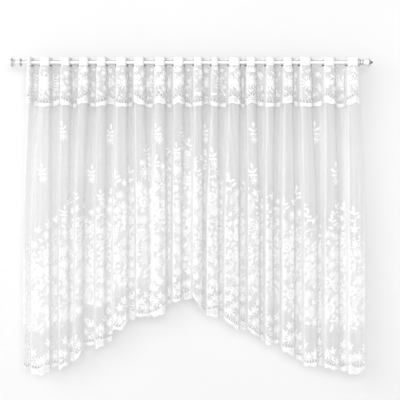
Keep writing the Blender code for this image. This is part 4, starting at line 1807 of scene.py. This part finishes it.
@dataclass
class Studio:
    """The pale wall and floor, the soft light and the camera."""

    wall_depth: float = 0.100
    floor_height: float = -1.86
    half_width: float = 5.0
    wall_top: float = 3.2
    camera_distance: float = 5.0
    lens: float = 90.0
    sensor: float = 36.0
    floor_front: float = -5.5
    room_left: float = 1.40
    room_right: float = 0.50
    room_top: float = 0.42
    room_sideways: tuple[float, float] = (-0.8, 0.9)
    room_upwards: tuple[float, float] = (0.25, 0.95)
    paint: tuple[float, float] = (0.645, 0.660)
    paint_glow: float = 0.16
    aim: tuple[float, float, float] = (0.0, 0.0, -0.75)

    # Columns: name, place, side and watts of a square light.
    lights: tuple[tuple[str, tuple[float, float, float], float, float], ...] = (
        ("key_light", (-9.0, -9.0, 4.5), 7.0, 350.0),
        ("front_light", (0.4, -8.0, 0.6), 4.5, 238.0),
    )

    def _surface(self, name: str, corners: Sequence[tuple[float, float, float]],
                 material: bpy.types.Material) -> None:
        """Add a flat backdrop."""
        add_piece(name, new_mesh(name, corners, faces=[tuple(range(len(corners)))]), material)

    def _paint(self, name: str, one_sided: bool) -> bpy.types.Material:
        """Return the pale paint. The one-sided kind is clear from behind."""
        material, nodes, shader, output = new_material(name)
        place = nodes.add("ShaderNodeTexCoord").outputs["Object"]
        noise = nodes.add("ShaderNodeTexNoise", {"Vector": place, "Scale": 0.8}).outputs["Fac"]
        nodes.feed(shader, {
            "Base Color": nodes.grey(nodes.smooth_step(noise, *NOISE_RANGE, *self.paint)),
            "Emission Color": (1.0, 1.0, 1.0, 1.0),
            "Emission Strength": self.paint_glow,
            "Roughness": 0.9,
            "Specular IOR Level": 0.2,
        })
        if one_sided:
            clear = nodes.add("ShaderNodeBsdfTransparent").outputs[0]
            behind = nodes.add("ShaderNodeNewGeometry").outputs["Backfacing"]
            nodes.feed(output, {"Surface": nodes.blend(behind, shader.outputs[0], clear)})
        return material

    def _light(self, name: str, place: tuple[float, float, float], size: float, watts: float) -> None:
        """Add a soft square light that faces the curtain."""
        lamp = bpy.data.lights.new(name, "AREA")
        lamp.size = size
        lamp.energy = watts
        source = bpy.data.objects.new(name, lamp)
        source.location = place
        way = Vector(self.aim) - source.location
        source.rotation_euler = way.to_track_quat("-Z", "Y").to_euler()
        bpy.context.scene.collection.objects.link(source)

    def build(self) -> None:
        """Make the stage, the lights and the camera."""
        wide, deep, low, high = self.half_width, self.wall_depth, self.floor_height, self.wall_top
        near = self.floor_front
        wall = ((-wide, deep, low), (wide, deep, low), (wide, deep, high), (-wide, deep, high))
        floor = ((-wide, near, low), (wide, near, low), (wide, deep, low), (-wide, deep, low))
        self._surface("wall", wall, self._paint("wall_paint", True))
        self._surface("floor", floor, self._paint("floor_paint", False))
        for name, place, size, watts in self.lights:
            self._light(name, place, size, watts)
        self._room()
        bpy.context.scene.view_settings.view_transform = "Standard"
        self._camera()

    def _room(self) -> None:
        """Surround the curtain with a soft room, brightest on the left and dimmer high up."""
        world = bpy.data.worlds.new("soft_room")
        world.use_nodes = True
        nodes = Nodes(world.node_tree)
        way = nodes.add("ShaderNodeSeparateXYZ", {0: nodes.add("ShaderNodeTexCoord").outputs["Generated"]})
        sideways = nodes.smooth_step(way.outputs["X"], *self.room_sideways, self.room_left, self.room_right)
        upwards = nodes.smooth_step(way.outputs["Z"], *self.room_upwards, 1.0, self.room_top)
        nodes.feed(world.node_tree.nodes["Background"], {
            "Color": (1.0, 1.0, 1.0, 1.0),
            "Strength": nodes.maths("MULTIPLY", sideways, upwards),
        })
        bpy.context.scene.world = world

    def _camera(self) -> None:
        """Stand the camera straight before the cloth, with the photograph's frame."""
        middle = 0.5 * FRAME_PIXELS
        x, drop = from_photo(middle, middle)
        lens = bpy.data.cameras.new("camera")
        lens.lens = self.lens
        lens.sensor_width = self.sensor
        camera = bpy.data.objects.new("camera", lens)
        camera.location = (x, -self.camera_distance, -drop)
        camera.rotation_euler = (0.5 * math.pi, 0.0, 0.0)
        bpy.context.scene.collection.objects.link(camera)
        bpy.context.scene.camera = camera


def settle(piece: bpy.types.Object, slot: str, *nodes: str) -> bpy.types.Object:
    """Fix a finished piece to the part, hide the nodes that it stands for, and report it."""
    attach(piece, "root")
    if nodes:
        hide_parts(*nodes)
    LOG.info("%s: %d faces", piece.name, len(piece.data.polygons))
    return piece


def trim(net: Net, cloth: bpy.types.Object, workshop: LaceWorkshop, plan: Plan,
         thread: bpy.types.Material, painted_shadow_cord: bpy.types.Material) -> list[bpy.types.Object]:
    """Sew the lace, the border, the dark cord that is a painted shadow, and the pearls to a net.

    Args:
        net: the net.
        cloth: its piece.
        workshop: where the lace is made.
        plan: the places of its ornaments.
        thread: the lace's and the border's finish.
        painted_shadow_cord: the cord's dark finish, a painted shadow.

    Returns:
        The four pieces.
    """
    slot = cloth.name
    return [
        settle(workshop.ornaments(f"{net.label}_lace", plan, cloth, thread), slot),
        settle(net.border(thread), slot),
        settle(net.cord(painted_shadow_cord), slot),
        settle(workshop.pearls(f"{net.label}_pearls", net.pearl_line(), cloth, thread), slot),
    ]


def main() -> None:
    """Build every piece of the curtain and its rod."""
    logging.basicConfig(level=logging.INFO, format="%(message)s")
    drape = Drape()
    panel, valance, tape = MainPanel(drape), Valance(drape), HeadingTape(drape)
    workshop = LaceWorkshop()
    thread = ThreadFinish("lace_thread").material()
    # Painted shadow: a dark cord along each border stands for the shade seen through a row of eyelet holes.
    painted_shadow_cord = ThreadFinish("painted_shadow_cord", colour=(0.32, 0.32, 0.32, 1.0)).material()
    panel_finish = NetFinish("panel_tulle", PANEL_FLOWERS).material(drape.flat_width)
    valance_finish = NetFinish("valance_tulle", VALANCE_FLOWERS, painted_top_shadow=0.81, bloom_shade=0.84,
                               bloomed=0.0).material(drape.flat_width)
    weave = WovenFinish("tape_weave").material()

    panel_net = settle(panel.build(panel_finish), "panel_net", "main_panel")
    valance_net = settle(valance.build(valance_finish), "valance_net", "valance")
    plan = LacePlan(panel, valance)
    on_panel = trim(panel, panel_net, workshop, plan.panel_spots(), thread, painted_shadow_cord)
    on_valance = trim(valance, valance_net, workshop, plan.valance_spots(), thread, painted_shadow_cord)
    tape_weave = settle(tape.build(weave), "tape", "heading_tape")
    workshop.close()

    lacquer = LacquerFinish("white_lacquer").material()
    rod = CurtainRod()
    settle(rod.rod(lacquer), "rod", "rod")
    settle(rod.finial(-1.0, "finial_turned_left", lacquer), "finial", "finial_left")
    settle(rod.finial(1.0, "finial_turned_right", lacquer), "finial", "finial_right")

    panel.length()
    panel.area()
    valance.length()
    valance.area()
    Studio().build()


if __name__ == "__main__":
    main()
